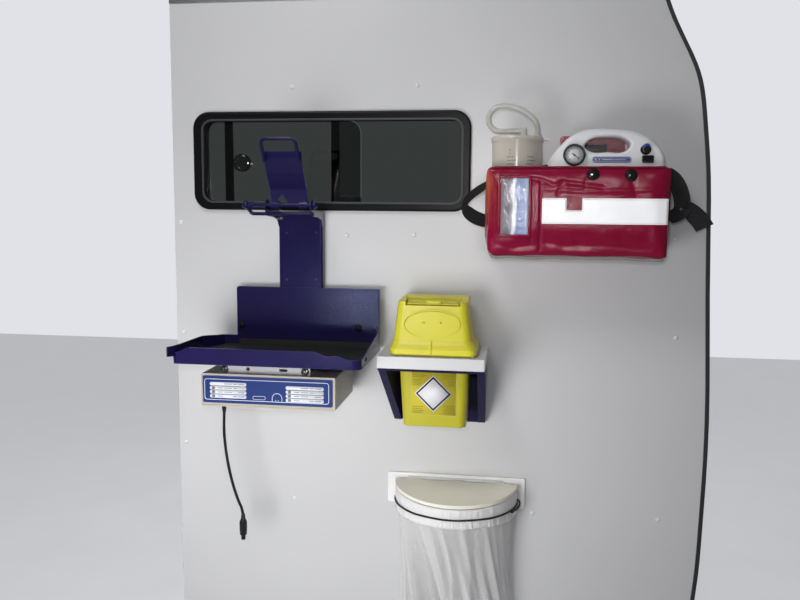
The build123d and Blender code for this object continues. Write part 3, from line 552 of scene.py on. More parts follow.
def add_camera():
    """The camera stands where the photograph was taken from."""
    forward = Vector((-math.sin(VIEW_YAW) * math.cos(VIEW_PITCH), math.cos(VIEW_YAW) * math.cos(VIEW_PITCH),
                      -math.sin(VIEW_PITCH)))
    level = Vector((math.cos(VIEW_YAW), math.sin(VIEW_YAW), 0))
    down = forward.cross(level)
    right = math.cos(VIEW_ROLL) * level + math.sin(VIEW_ROLL) * down
    down = math.cos(VIEW_ROLL) * down - math.sin(VIEW_ROLL) * level
    data = bpy.data.cameras.new("camera")
    data.sensor_width = SENSOR_WIDTH
    data.lens = SENSOR_WIDTH * LENS_SHARE
    camera = add_object("camera", data)
    turn = Matrix((right, -down, -forward)).transposed().to_4x4()
    camera.matrix_world = Matrix.Translation(VIEW_SPOT) @ turn
    scene.camera = camera


def add_lamp(name, spot, target, size, power, glossy=True, diffuse=True, spread=180, colour=(1, 1, 1)):
    """A soft square lamp that faces a point, in metres; it may leave out the glint or the matt light."""
    data = bpy.data.lights.new(name, "AREA")
    data.size = size
    data.spread = math.radians(spread)
    data.color = colour
    data.energy = power
    lamp = add_object(name, data)
    lamp.location = spot
    lamp.rotation_euler = (Vector(target) - Vector(spot)).to_track_quat("-Z", "Y").to_euler()
    lamp.visible_camera = False
    lamp.visible_transmission = False
    lamp.visible_glossy = glossy
    lamp.visible_diffuse = diffuse


def add_room():
    """Soft light that is stronger from above; the background is pale, and dark in glass and reflections."""
    world = bpy.data.worlds.new("room")
    world.use_nodes = True
    tree = world.node_tree
    light = tree.nodes["Background"]
    light.inputs["Color"].default_value = (0.94, 0.95, 1.0, 1)
    path = add_node(tree, "LightPath")
    way = add_node(tree, "TexCoord").outputs["Generated"]
    up = add_node(tree, "SeparateXYZ", {"Vector": way}).outputs["Z"]
    strength = graded(tree, up, -0.3, 0.6, 0.05, 0.15)
    for ray, value in (("Is Camera Ray", 0.80), ("Is Glossy Ray", 0.10), ("Is Transmission Ray", 0.15)):
        strength = add_node(tree, "Mix", {"Factor": path.outputs[ray], 2: strength, 3: value}).outputs[0]
    tree.links.new(strength, light.inputs["Strength"])
    scene.world = world


def add_floor():
    """A plain pale floor under the wall's foot rail, which keeps the shadow."""
    bm = bmesh.new()
    bmesh.ops.create_grid(bm, x_segments=1, y_segments=1, size=6.0)
    floor = add_object("floor", mesh_of("floor", bm))
    pale = finish("floor_pale", (0.62, 0.62, 0.63), rough=(0.6, 0.75), bump=0.05)
    tree = pale.node_tree
    seen = times(tree, add_node(tree, "LightPath").outputs["Is Camera Ray"], 0.42)
    shader = tree.nodes["Principled BSDF"]
    tree.links.new(seen, shader.inputs["Emission Strength"])
    shader.inputs["Emission Color"].default_value = (0.95, 0.96, 1.0, 1)
    floor.data.materials.append(pale)
    floor.location = (0, 0, -0.0005)


add_camera()
add_lamp("door_light", (-0.52, -1.25, 0.74), (-0.24, 0.0, 0.86), 0.7, 6.6, glossy=False, spread=120)
add_lamp("flash", (0.17, -1.86, 1.50), (0.0, 0.0, 1.25), 0.09, 4.7)
add_lamp("flash_glint", (0.17, -1.86, 1.51), (0.0, 0.0, 1.25), 0.09, 3.0, diffuse=False)
add_lamp("ceiling_light", (-0.45, -1.05, 2.6), (-0.1, -0.1, 1.0), 0.5, 10.0)
add_lamp("plate_glint", (-0.52, -1.95, 0.96), (-0.165, 0.0, 1.24), 0.12, 1.2, diffuse=False,
         colour=(0.56, 0.66, 1.0))
add_lamp("cab_light", (-0.4, 2.4, 2.4), (0.0, 0.0, 1.0), 1.4, 14.0)
add_room()
scene.view_settings.view_transform = "Standard"
add_floor()


# Fixings

def domes(name, spots, out, radius, rise, material, socket=0.0):
    """Domed screw heads on one plane, each with a round recess where socket gives its radius."""
    recess = rise * 0.3
    top = [(0, recess), (socket, recess), (socket, rise)] if socket else [(0, rise)]
    edge = [(radius * 0.55, rise * 0.92), (radius * 0.88, rise * 0.55), (radius, 0), (radius, -0.4),
            (0, -0.4)]
    bm = bmesh.new()
    for x, z in spots:
        lathe(top + edge, vec(x, out, z), sides=20, bm=bm)
    settle(name, bm, material)


# X and Z of each screw
WALL_CAPS = [(-328, 1684), (-34, 1684), (-198, 1341), (-39, 1344), (548, 1343), (-609, 1367), (-330, 692),
             (251, 689), (539, 690), (-609, 1100), (-609, 820), (560, 1120)]
COLUMN_SCREWS = [(-338, 1346), (-266, 1347), (-339, 1235), (-266, 1236)]
STRIP_BOLTS = [(-430, 1052), (-248, 1052)]
domes("wall_screw_caps", WALL_CAPS, 0, 5.5, 2.6, screw_white)
domes("column_screws", COLUMN_SCREWS, 22, 4.6, 1.6, navy_coat, 1.7)
domes("strip_bolts", STRIP_BOLTS, 200, 8.0, 3.6, steel, 2.8)
domes("strip_washers", STRIP_BOLTS, 199.6, 10.5, 1.0, steel)


# Window: gasket round the opening, and a glowing line that paints the highlight on the sliding pane's edge

GASKET = (-550, 74, 1414, 1611)
settle("window_gasket", rim(GASKET, 26, 5, 3, 9.6), gasket_grey, bevel=0.0008)
EDGE_X, EDGE_OUT, EDGE_TOP, EDGE_BEND = -198, -17.1, 1578, 30
pane_edge = [vec(EDGE_X + EDGE_BEND, EDGE_OUT, z) for z in steps(1420, EDGE_TOP, 40)]
for turn in steps(0.1, 1.57, 0.15):
    x, z = round_spot(EDGE_X, EDGE_TOP, EDGE_BEND, turn)
    pane_edge.append(vec(x, EDGE_OUT, z))
wires("pane_edge_painted_highlight", [pane_edge], 0.9, painted_edge_glow)


# Charger front: thin outline, two blocks of four blank bars, arch and oval

FASCIA_OUT = 215.5
PRINT_OUT = FASCIA_OUT + 0.25
BAR_OUT = FASCIA_OUT + 0.3
BAR_PITCH, BAR_HEIGHT, RULED_LENGTH = 9.1, 8.0, 84
# Where the short rules on a bar start and end, as shares of the ruled length
RULE_SPANS = ((0.22, 0.36), (0.39, 0.60), (0.63, 0.74), (0.77, 0.93))
charger_outline = rim((-471.5, -191.5, 985.5, 1032.5), 6, 1.2, FASCIA_OUT, PRINT_OUT, inner_radius=5)
settle("charger_outline", charger_outline, print_white)
bars, squares, rules = [], [], []
for x0, x1, top in ((-459, -376, 1025.5), (-287.5, -203, 1022.5)):
    for row in range(4):
        z1 = top - BAR_PITCH * row
        bars.append(rounded(x0, x1, z1 - BAR_HEIGHT, z1, 3.4))
        if row:
            squares.append(rounded(x0 + 5, x0 + 11.5, z1 - 7.1, z1 - 0.9, 0.8, 2))
        for i, (start, end) in enumerate(RULE_SPANS):
            if (i + row) % 4:
                rules.append(rounded(x0 + start * RULED_LENGTH, x0 + end * RULED_LENGTH, z1 - 4.6, z1 - 3.4,
                                     0.4, 2))
settle("charger_bars", prism(bars, FASCIA_OUT, BAR_OUT), print_white)
settle("charger_squares", prism(squares, BAR_OUT, BAR_OUT + 0.2), patch_grey)
settle("charger_rules", prism(rules, BAR_OUT, BAR_OUT + 0.15), patch_grey)
settle("charger_oval", rim((-362, -333, 989.5, 997.5), 3.9, 0.8, FASCIA_OUT, FASCIA_OUT + 0.2), label_white)
ARCH_X, ARCH_FOOT, ARCH_SPRING = -307, 986.5, 994
arch = []
for radius, way in ((11.5, 1), (10.3, -1)):
    sweep = [round_spot(ARCH_X, ARCH_SPRING, radius, angle) for angle in steps(0, math.pi, 0.2)]
    arch += ([(ARCH_X + radius, ARCH_FOOT)] + sweep + [(ARCH_X - radius, ARCH_FOOT)])[::way]
arch_dots = [rounded(x, x + 2, 988, 990, 0.9) for x in (ARCH_X - 4, ARCH_X + 2)]
settle("charger_arch", prism([arch], FASCIA_OUT, PRINT_OUT), print_white)
settle("charger_arch_dots", prism(arch_dots, FASCIA_OUT, PRINT_OUT), print_white)


# Sharps bin: label panel with a blank diamond on the sloping front, and two bumps on the lid

BIN_FOOT, BIN_FOOT_OUT = 927, 141
BIN_RISE, BIN_LEAN = 169, 10
LABEL = (-23, 77, 953, 1051)
LABEL_OUT = 0.3
DIAMOND_X, DIAMOND_Z = 26, 1002
LID_SHOULDER, LID_STEP, LID_CROWN = 1183, 1192.2, 1215
LID_CORNER = 18.15


def bin_front(_, z):
    """How far out the bin's sloping front is at a height."""
    return BIN_FOOT_OUT + (z - BIN_FOOT) * BIN_LEAN / BIN_RISE


def diamond(half):
    """A square on its corner, round the middle of the label."""
    return [(DIAMOND_X + half, DIAMOND_Z), (DIAMOND_X, DIAMOND_Z + half), (DIAMOND_X - half, DIAMOND_Z),
            (DIAMOND_X, DIAMOND_Z - half)]


def upright(low, high, z0, z1):
    """A closed block between an (X, out) outline at one height and another at a second height."""
    bm = bmesh.new()
    foot = [bm.verts.new(vec(x, out, z0)) for x, out in low]
    head = [bm.verts.new(vec(x, out, z1)) for x, out in high]
    bm.faces.new(foot)
    bm.faces.new(head)
    join_rows(bm, [foot, head], closed=True)
    bmesh.ops.recalc_face_normals(bm, faces=bm.faces)
    return add_object("block", mesh_of("block", bm))


def beyond_corner(x, out, side):
    """What lies outside a rounded corner whose centre is given; side is 1 for the right, -1 for the left."""
    arc = [(x + side * LID_CORNER * math.sin(a), out + LID_CORNER * math.cos(a))
           for a in steps(0, math.pi / 2, 0.26)]
    return arc + [(x + side * 40, out), (x + side * 40, 140), (x, 140)]


def keep_normals(mesh, old):
    """Gives a cut mesh the normals that its surface had before, and flat ones where the surface is new."""
    tree = surface_tree(old)
    normals = []
    for side in mesh.polygons:
        for corner in side.loop_indices:
            spot = mesh.vertices[mesh.loops[corner].vertex_index].co.lerp(side.center, 0.02)
            _, _, index, far = tree.find_nearest(spot)
            face = old.polygons[index]
            normal = side.normal
            if far < 1e-4 and face.normal.dot(side.normal) > 0.995:
                weights = poly_3d_calc([old.vertices[v].co for v in face.vertices], spot)
                normal = sum((old.corner_normals[loop].vector * share for loop, share in
                              zip(face.loop_indices, weights)), Vector())
            normals.append(normal.normalized())
    mesh.normals_split_custom_set(normals)


def opened_lid():
    """The bin's lid with its recess open to the front and its two upper front corners rounded."""
    closed = nodes["sharps_bin_lid"].data
    lid = add_object("opened_lid", closed.copy())
    notch = [(-42, 97.5), (80, 97.5), (80, 140), (-42, 140)]
    for low, high, z0 in (
            (beyond_corner(79.5, 98.8, 1), beyond_corner(74.1, 81.7, 1), LID_SHOULDER),
            (beyond_corner(-43.2, 98.8, -1), beyond_corner(-41.7, 81.7, -1), LID_SHOULDER),
            (notch, notch, LID_STEP)):
        block = upright(low, high, z0, LID_CROWN)
        cut = lid.modifiers.new("cut", "BOOLEAN")
        cut.operation = "DIFFERENCE"
        cut.solver = "EXACT"
        cut.object = block
        work_in(lid)
        bpy.data.objects.remove(block)
    mesh = lid.data
    bpy.data.objects.remove(lid)
    piece = place("bin_lid_opened", mesh, bin_yellow, "sharps_bin")
    keep_normals(mesh, closed)
    return piece


def on_bin(name, bm, material):
    """Settles a piece that lifts out with the bin."""
    settle(name, bm, material, "sharps_bin")


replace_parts(opened_lid(), "sharps_bin_lid")
on_bin("bin_label", prism([rounded(*LABEL, 2)], 0.05, LABEL_OUT, bin_front), label_paper)
on_bin("bin_label_edge", rim(LABEL, 2, 0.8, LABEL_OUT, 0.42, bin_front, inner_radius=1.4), label_pale)
on_bin("bin_diamond", prism([diamond(42)], LABEL_OUT, 0.5, bin_front), label_white)
on_bin("bin_diamond_line", frame_strip(diamond(38.5), diamond(34), 0.5, 0.65, bin_front), print_navy)
bin_rules = []
for x0, x1, z, count in ((-19, 9, 1044, 2), (-19, 0, 1034, 4), (45, 73, 1044, 3), (57, 73, 1030, 3),
                         (-19, 5, 972, 4), (48, 73, 976, 5)):
    for i in range(count):
        bin_rules.append(rounded(x0, x1 - 3 * (i % 2), z - 4.2 * i - 0.8, z - 4.2 * i, 0.3, 2))
on_bin("bin_rules", prism(bin_rules, LABEL_OUT, 0.42, bin_front), rule_olive)
bumps = bmesh.new()
for x in (1, 38):
    lathe([(0, 1.3), (2, 1.1), (3.2, 0), (3.2, -1), (0, -1)], vec(x, 131, 1157), (0, -80, 38), 16, bumps)
on_bin("lid_bumps", bumps, bin_yellow)


# Suction unit: soft vinyl case

CASE_TOP, CASE_FRONT, CASE_BACK, CASE_FOOT = 1495, 150, 14, 1322
# The hollow inside the case, whose walls keep still while the outside swells
HOLLOW_LEFT, HOLLOW_RIGHT, HOLLOW_BACK, HOLLOW_FRONT, HOLLOW_LOW = 140, 504, 22, 143, 1314
SEAM_X = 247
SWELL_FRAMES, SWELL_PRESSURE, SWELL_CAP = 20, 4.0, 0.007
# Creases pressed into the front: (X, Z) path, half width and depth
CREASES = [
    ([(228, 1470), (250, 1466), (272, 1456), (292, 1463), (330, 1458), (372, 1452)], 4.5, 2.6),
    ([(292, 1463), (286, 1450), (282, 1438)], 5.0, 1.6),
    ([(255, 1449), (330, 1444), (420, 1446), (498, 1450)], 5.0, 1.5),
    ([(348, 1480), (338, 1466), (336, 1452)], 4.0, 1.4),
    ([(430, 1466), (436, 1452), (438, 1438)], 5.0, 1.2),
    ([(SEAM_X, 1322), (SEAM_X, 1464)], 2.6, 1.8),
    ([(262, 1338), (300, 1331), (380, 1334), (470, 1328)], 7.0, 1.3),
    ([(150, 1334), (190, 1326), (232, 1331)], 6.0, 1.5),
    ([(228, 1340), (233, 1400), (229, 1460)], 4.0, 1.0),
]


def remeshed(name, node, voxel):
    """A copy of a CAD solid as an even mesh of small cells, in an object of its own."""
    bm = bmesh.new()
    bm.from_mesh(nodes[node].data)
    bmesh.ops.remove_doubles(bm, verts=bm.verts, dist=1e-5)
    rough = add_object(name, mesh_of(name, bm))
    cells = rough.modifiers.new("cells", "REMESH")
    cells.mode = "VOXEL"
    cells.voxel_size = voxel
    work_in(rough)
    return rough


def puffed(piece, held):
    """Swells a closed mesh by a short cloth simulation, no point moving further than the cap."""
    before = [v.co.copy() for v in piece.data.vertices]
    group = piece.vertex_groups.new(name="held")
    group.add(held, 1.0, "REPLACE")
    cloth = piece.modifiers.new("puff", "CLOTH")
    cloth.settings.use_pressure = True
    cloth.settings.uniform_pressure_force = SWELL_PRESSURE
    cloth.settings.vertex_group_mass = "held"
    cloth.settings.effector_weights.gravity = 0
    for step in range(1, SWELL_FRAMES + 1):
        scene.frame_set(step)
    graph = bpy.context.evaluated_depsgraph_get()
    swollen = [v.co.copy() for v in piece.evaluated_get(graph).data.vertices]
    piece.modifiers.remove(cloth)
    piece.vertex_groups.clear()
    for vert, start, end in zip(piece.data.vertices, before, swollen):
        move = end - start
        vert.co = start + move * (SWELL_CAP / (SWELL_CAP + move.length))
    scene.frame_set(1)


def off_path(x, z, path):
    """How far a point is from a path of (X, Z) points, in millimetres."""
    here = Vector((x, z))
    nearest = 1e9
    for a, b in zip(path, path[1:]):
        a, b = Vector(a), Vector(b)
        share = max(0.0, min(1.0, (here - a).dot(b - a) / (b - a).length_squared))
        nearest = min(nearest, (here - a.lerp(b, share)).length)
    return nearest


def soft_case():
    """The case: swollen between its seams, creased under its top edge and sagging along its foot."""
    piece = remeshed("vinyl_case", "suction_case", 0.005)
    held = []
    for vert in piece.data.vertices:
        x, out, z = in_mm(vert.co)
        in_hollow = HOLLOW_LEFT < x < HOLLOW_RIGHT and HOLLOW_BACK < out < HOLLOW_FRONT and z > HOLLOW_LOW
        if in_hollow or out < CASE_BACK + 4 or z > CASE_TOP - 3:
            held.append(vert.index)
    puffed(piece, held)
    finer = piece.modifiers.new("finer", "SUBSURF")
    finer.levels = 1
    work_in(piece)
    normals = [v.normal.copy() for v in piece.data.vertices]
    for vert, normal in zip(piece.data.vertices, normals):
        x, out, z = in_mm(vert.co)
        if out < 100 or z > CASE_TOP - 1:
            continue
        depth = sum(deep * math.exp(-(off_path(x, z, path) / wide) ** 2) for path, wide, deep in CREASES)
        ripple = waver(x / 46, z / 30, 3.7) * 1.6 + waver(x / 17, z / 23, 9.1) * 0.5
        near_top = min(1.0, (CASE_TOP - z) / 14)
        vert.co += normal * (ripple - depth) * near_top * MM
        if z < CASE_FOOT:
            vert.co.z -= (1.2 + 1.6 * waver(x / 60, 0.5, 1.3)) * MM
    mesh = piece.data
    bpy.data.objects.remove(piece)
    return place("vinyl_case", mesh, case_vinyl)


case = soft_case()
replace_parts(case, "suction_case")
case_tree = surface_tree(case.data)


def on_case(x, z):
    """How far out the case's front is at a point."""
    spot = case_tree.ray_cast(vec(x, 300, z), Vector((0, 1, 0)))[0]
    return -spot.y / MM if spot else CASE_FRONT


def case_line(points, lift, pitch=4):
    """A path over the case's front through (X, Z) points."""
    path = []
    for (x0, z0), (x1, z1) in zip(points, points[1:]):
        for share in steps(0, 1, pitch / math.hypot(x1 - x0, z1 - z0))[:-1]:
            path.append(on_bed(x0 + (x1 - x0) * share, z0 + (z1 - z0) * share, lift, on_case))
    return path + [on_bed(*points[-1], lift, on_case)]


def over_case(name, xs, zs, lift, thick, material, keep=None):
    """A thin plate over the case's front, on the grid of xs and zs, in the cells that keep() accepts."""
    bm = bmesh.new()
    corners = {}

    def corner(i, j):
        if (i, j) not in corners:
            corners[i, j] = bm.verts.new(on_bed(xs[i], zs[j], lift, on_case))
        return corners[i, j]

    for i in range(len(xs) - 1):
        for j in range(len(zs) - 1):
            if keep is None or keep((xs[i] + xs[i + 1]) / 2, (zs[j] + zs[j + 1]) / 2):
                bm.faces.new((corner(i, j), corner(i + 1, j), corner(i + 1, j + 1), corner(i, j + 1)))
    return settle(name, bm, material, solid=thick * MM)


PANE_LOW, PANE_HIGH = 1353, 1471
BAND_LEFT, BAND_RIGHT, BAND_LOW, BAND_HIGH = 250, 506, 1377, 1430
NOTCH_LEFT, NOTCH_RIGHT, NOTCH_LOW = 300, 332, 1405


def in_window_edge(x, z):
    """Whether a point is on the welded edge round the clear window."""
    beside = not PANE_LEFT - 1.5 < x < PANE_RIGHT + 1.5
    return beside or not PANE_LOW + 1.5 < z < PANE_HIGH - 1.5


def in_band(x, z):
    """The band's outline, with the notch in its upper edge."""
    return not (NOTCH_LEFT < x < NOTCH_RIGHT and z > NOTCH_LOW)


def edge_grid(start, end, inset):
    """Grid lines across the window and the welded edge on both its sides, closer together on the edge."""
    return steps(start - 6, start, 2) + steps(start + inset, end - inset, 4) + steps(end, end + 6, 2)


pane = over_case("case_clear_window", steps(PANE_LEFT, PANE_RIGHT, 4), steps(PANE_LOW, PANE_HIGH, 4),
                 0.6, 0.7, vinyl_clear)
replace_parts(pane, "case_window")
over_case("case_window_edge", edge_grid(PANE_LEFT, PANE_RIGHT, 3), edge_grid(PANE_LOW, PANE_HIGH, 4),
          1.0, 1.0, case_vinyl, keep=in_window_edge)
band_xs = [BAND_LEFT, BAND_LEFT + 0.5]
for start, end in ((BAND_LEFT, NOTCH_LEFT), (NOTCH_LEFT, NOTCH_RIGHT), (NOTCH_RIGHT, BAND_RIGHT)):
    band_xs += steps(start + 4, end, 4)
band_zs = [BAND_LOW, BAND_LOW + 0.5]
for start, end in ((BAND_LOW, NOTCH_LOW), (NOTCH_LOW, BAND_HIGH)):
    band_zs += steps(start + 4, end, 4)
band = over_case("case_bright_band", band_xs, band_zs, 0.6, 0.6, reflective_band,
                 in_band)
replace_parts(band, "case_reflective_band")
seams = [
    case_line([(SEAM_X, 1318), (SEAM_X, 1466)], 0.1),
    case_line([(152, 1336), (152, 1470), (157, 1483), (166, 1487), (500, 1487)], -0.2),
]
wires("case_seams", seams, 0.8, case_vinyl)
sewn = []
for points in ([(244, 1322), (244, 1462)], [(252, 1379.5), (298, 1379.5), (504, 1379.5)],
               [(252, 1427.5), (298, 1427.5)], [(334, 1427.5), (504, 1427.5)], [(252.5, 1381), (252.5, 1426)],
               [(503.5, 1381), (503.5, 1426)], [(298, 1426), (298, 1403), (334, 1403), (334, 1426)],
               [(156, 1340), (156, 1468)], [(160, 1490.5), (500, 1490.5)]):
    sewn += stitch_runs(case_line(points, 1.0, 8), 2.8)
wires("case_stitches", sewn, 0.32, thread_red, sides=1)
foot_line = []
for x in steps(141, 505, 7):
    sag = 3.4 * waver(x / 48, 4.2, 0.3) - 1.4
    inset = 12 * max(0.0, (150 - x) / 9) ** 2 + 9 * max(0.0, (x - 497) / 8) ** 2
    foot_line.append(vec(x, on_case(x, 1318) - 5, 1306.5 + sag + inset))
wires("case_piping", [foot_line], 3.0, grey_binding)
top_line = []
for x in steps(150, 497, 8):
    top_line.append(vec(x, on_case(x, 1489) - 2, 1494.5 + 0.8 * waver(x / 30, 1.1, 2.2)))
wires("case_top_piping", [top_line], 1.7, case_vinyl)
case_tab = prism([[(240, 1493), (262, 1494), (259, 1500), (249, 1498)]], 128, 140)
settle("case_tab", case_tab, strap_black, bevel=0.001)
settle("case_grey_patch", prism([rounded(343, 387, 1529, 1546, 1)], 58, 58.6), patch_grey)


# Suction unit: gauge dial, knob cap, print on the label, graduations on the jar

GAUGE_X, GAUGE_Z, DIAL_OUT, MARK_OUT = 314, 1520, 129, 129.4
# The scale runs clockwise from this angle, one long tick in so many degrees
SCALE_START, SCALE_PITCH = 225, 27


def spoke(angle, r0, r1, half):
    """A thin bar pointing away from the gauge's centre."""
    ux, uz = math.cos(math.radians(angle)), math.sin(math.radians(angle))
    return [(GAUGE_X + ux * r - uz * h, GAUGE_Z + uz * r + ux * h) for r, h in
            ((r0, -half), (r1, -half), (r1, half), (r0, half))]


dial = [round_spot(GAUGE_X, GAUGE_Z, 17.9, angle) for angle in steps(0, 6.2, 0.16)]
settle("gauge_dial", prism([dial], DIAL_OUT, MARK_OUT), dial_white)
ticks = [spoke(SCALE_START - SCALE_PITCH * i, 11.5, 15.5, 0.45) for i in range(11)]
ticks += [spoke(SCALE_START - SCALE_PITCH * i - SCALE_PITCH / 2, 13.5, 15.5, 0.25) for i in range(10)]
settle("gauge_ticks", prism(ticks, MARK_OUT, 129.55), black_plastic)
settle("gauge_needle", prism([spoke(-38, -6, 13, 0.7)], 130.2, 130.7), black_plastic)
hub = lathe([(0, 2.2), (1.6, 1.8), (2.4, 0), (0, 0)], vec(GAUGE_X, MARK_OUT, GAUGE_Z), sides=16)
settle("gauge_hub", hub, black_plastic)
glass = lathe([(0, 1.6), (9, 1.3), (16, 0.6), (18, 0), (18, -0.5), (0, -0.5)], vec(GAUGE_X, 132.4, GAUGE_Z))
settle("gauge_cover", glass, gauge_glass)
cap = lathe([(0, 7.5), (4, 7.2), (6.6, 5.6), (7.6, 3), (7.6, 0), (0, 0)], vec(460, 127, 1535),
            (0, -0.75, 0.66))
settle("knob_cap", cap, knob_blue)
PLATE_OUT, PLATE_PRINT = 123, 123.15
settle("label_line", rim((352, 430, 1506.9, 1514.1), 3.5, 0.6, PLATE_OUT, PLATE_PRINT), label_white)
label_marks = [rounded(357, 360, 1509, 1512, 1.4), rounded(365, 367, 1509.5, 1511.5, 0.9),
               rounded(372, 420, 1510, 1511.2, 0.5)]
settle("label_marks", prism(label_marks, PLATE_OUT, PLATE_PRINT), print_white)
JAR_X, JAR_OUT, JAR_RADIUS = 195, 84, 53.5
# Dashed graduations on the jar: the height and the angles where each starts and ends
GRADUATIONS = [(1516, -112, -96), (1508.5, -112, -90), (1501, -112, -96), (1516, -66, -50),
               (1508.5, -66, -44), (1501, -66, -50), (1530, -108, -100), (1523, -108, -102)]


def on_jar(angle, z):
    """A point on the jar's wall, at an angle from its right side."""
    reach = JAR_RADIUS + 0.2
    return vec(JAR_X + reach * math.cos(angle), JAR_OUT - reach * math.sin(angle), z)


marks = []
for z, start, end in GRADUATIONS:
    for dash in steps(start, end, 5.5)[:-1]:
        dash_angles = steps(math.radians(dash), math.radians(dash + 3.6), 0.03)
        marks.append([on_jar(angle, z) for angle in dash_angles])
wires("jar_graduations", marks, 0.6, print_navy, sides=1)


# Suction unit: webbing straps

# Where the grid of a strap runs across its width, from edge to edge
STRAP_COLUMNS = (-0.5, -0.46, -0.2, 0.2, 0.46, 0.5)


def webbing(name, stations, width, thick):
    """A strap: each station is its centre (X, out, Z) and the direction of its width."""
    middle = smooth_path([vec(*centre) for centre, side in stations])
    sides = smooth_path([Vector((side[0], -side[1], side[2])).normalized() for centre, side in stations])
    bm = bmesh.new()
    rows = []
    for spot, side in zip(middle, sides):
        side = side.normalized() * width * MM
        rows.append([bm.verts.new(spot + side * share) for share in STRAP_COLUMNS])
    join_rows(bm, rows)
    bmesh.ops.recalc_face_normals(bm, faces=bm.faces)
    return settle(name, bm, strap_black, solid=thick * MM, bevel=0.0004)


loop = webbing("strap_loop", [
    ((136, 84, 1462), (0.15, 0.9, -0.35)), ((118, 84, 1450), (0.2, 0.85, -0.45)),
    ((100, 80, 1437), (0.25, 0.85, -0.45)), ((86, 76, 1422), (0.4, 0.9, -0.2)),
    ((84, 74, 1410), (0.45, 0.85, 0.2)), ((92, 78, 1398), (0.6, 0.55, 0.55)),
    ((106, 84, 1388), (0.5, 0.45, 0.75)), ((122, 88, 1382), (0.25, 0.5, 0.85)),
    ((137, 88, 1378), (0.1, 0.6, 0.8))], 33, 1.8)
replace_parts(loop, "strap_left")
tail = webbing("strap_tail", [
    ((508, 84, 1482), (0.45, 0.4, 0.75)), ((524, 88, 1470), (0.65, 0.4, 0.65)),
    ((536, 90, 1450), (0.85, 0.45, 0.25)), ((542, 90, 1428), (0.9, 0.4, 0.0)),
    ((542, 91, 1408), (0.88, 0.4, -0.2)), ((530, 92, 1396), (0.75, 0.4, -0.5)),
    ((512, 90, 1390), (0.6, 0.5, -0.6))], 35, 1.8)
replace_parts(tail, "strap_right")
webbing("strap_end", [
    ((548, 95, 1412), (-0.05, 0.5, 0.85)), ((562, 96, 1402), (0.35, 0.35, 0.85)),
    ((577, 96, 1388), (0.72, 0.3, 0.62)), ((590, 95, 1370), (0.85, 0.25, 0.45))], 38, 2.2)
domes("strap_rivet", [(540, 1409)], 95, 3.0, 1.4, stop_grey)


# Waste bag: film cuff over the hoop, elastic, hanging bag

HOOP_X, HOOP_HALF, HOOP_DEPTH = 69, 143, 138
FILM_THICK = 0.0004
# Rows of the cuff from inside the hoop over its top and down: growth past the hoop, Z, depth of its pleats
CUFF_ROWS = [(-6.5, 700, 1.5), (-6.0, 716, 0.8), (-5.2, 730, 0.5), (-3.4, 735.6, 0.4), (-1.0, 737.2, 0.3),
             (1.0, 736.4, 0.4), (2.2, 732, 1.4), (2.6, 726, 2.4), (2.0, 719, 1.8), (0.8, 714, 0.4),
             (1.8, 709.5, 1.9), (2.6, 704, 2.6), (2.8, 699, 2.8), (2.4, 695.5, 2.8), (1.6, 692.5, 2.6)]
# Rows of the bag from its mouth down: half width, depth and Z
BAG_ROWS = [(135, 128, 712), (134, 124, 680), (131, 114, 630), (130, 106, 560), (134, 98, 480),
            (138, 90, 400), (134, 82, 330), (124, 72, 255), (112, 60, 228), (102, 46, 217), (96, 38, 214)]
BAG_TOP, BAG_FALL, BAG_BACK = 712, 500, 14
# The front's share of the way round the bag; the rest lies along the wall
FRONT_SHARE = 0.72


def film(name, rows, arc, material, closed=False):
    """A film lofted through rings of points; each row gives its point at an arc share from 0 to 1."""
    bm = bmesh.new()
    rings = [[bm.verts.new(row(share)) for share in arc] for row in rows]
    join_rows(bm, rings, closed)
    if closed:
        bm.faces.new(rings[-1])
    bmesh.ops.recalc_face_normals(bm, faces=bm.faces)
    return settle(name, bm, material, solid=FILM_THICK)


def hoop_point(share, grow, z):
    """A point on the half oval round the hoop: share 0 is its left end, grow widens it."""
    angle = math.pi * (1 - share)
    return vec(HOOP_X + (HOOP_HALF + grow) * math.cos(angle), (HOOP_DEPTH + grow) * math.sin(angle), z)


def cuff_row(grow, z, pleat):
    """One row of the cuff, pleated by pleat millimetres."""
    def point(share):
        fold = waver(share * 38, z / 90, 0.4) + 0.8 * waver(share * 90, z / 40, 5.1)
        hem = 3.0 * waver(share * 9, 8.8, 1.2) if z < 695 else 0
        rise = 13 * (1 - math.sin(math.pi * share)) * max(0.0, min(1.0, (z - 712) / 24))
        return hoop_point(0.012 + 0.976 * share, grow + pleat * abs(fold), z + hem + rise)
    return point


def bag_row(half, depth, z):
    """One closed ring of the bag, gathered into folds that deepen and lean as it falls."""
    def point(share):
        drop = (BAG_TOP - z) / BAG_FALL
        if share < FRONT_SHARE:
            angle = math.pi * (1 - share / FRONT_SHARE)
            x = HOOP_X + half * math.cos(angle)
            out = BAG_BACK + (depth - BAG_BACK) * math.sin(angle)
            lean = share * 1.25 - 0.24 * drop
            fold = abs(waver(lean * 9.5, drop * 1.3, 2.6)) * 2 - 0.35
            fold += 0.7 * waver(lean * 27, drop * 2.4, 7.7)
            fold += 1.1 * max(0.0, 1 - abs(share - 0.20 - 0.22 * drop) / 0.035)
            deep = (1.5 + 15 * min(1, drop * 2.2)) * math.sin(math.pi * share / FRONT_SHARE) ** 0.6
            return vec(x - deep * fold * math.cos(angle) * 0.8, out - deep * fold * math.sin(angle), z)
        back = (share - FRONT_SHARE) / (1 - FRONT_SHARE)
        return vec(HOOP_X + half * (1 - 2 * back), 10 + 3 * waver(back * 7, drop * 3, 4.4), z)
    return point


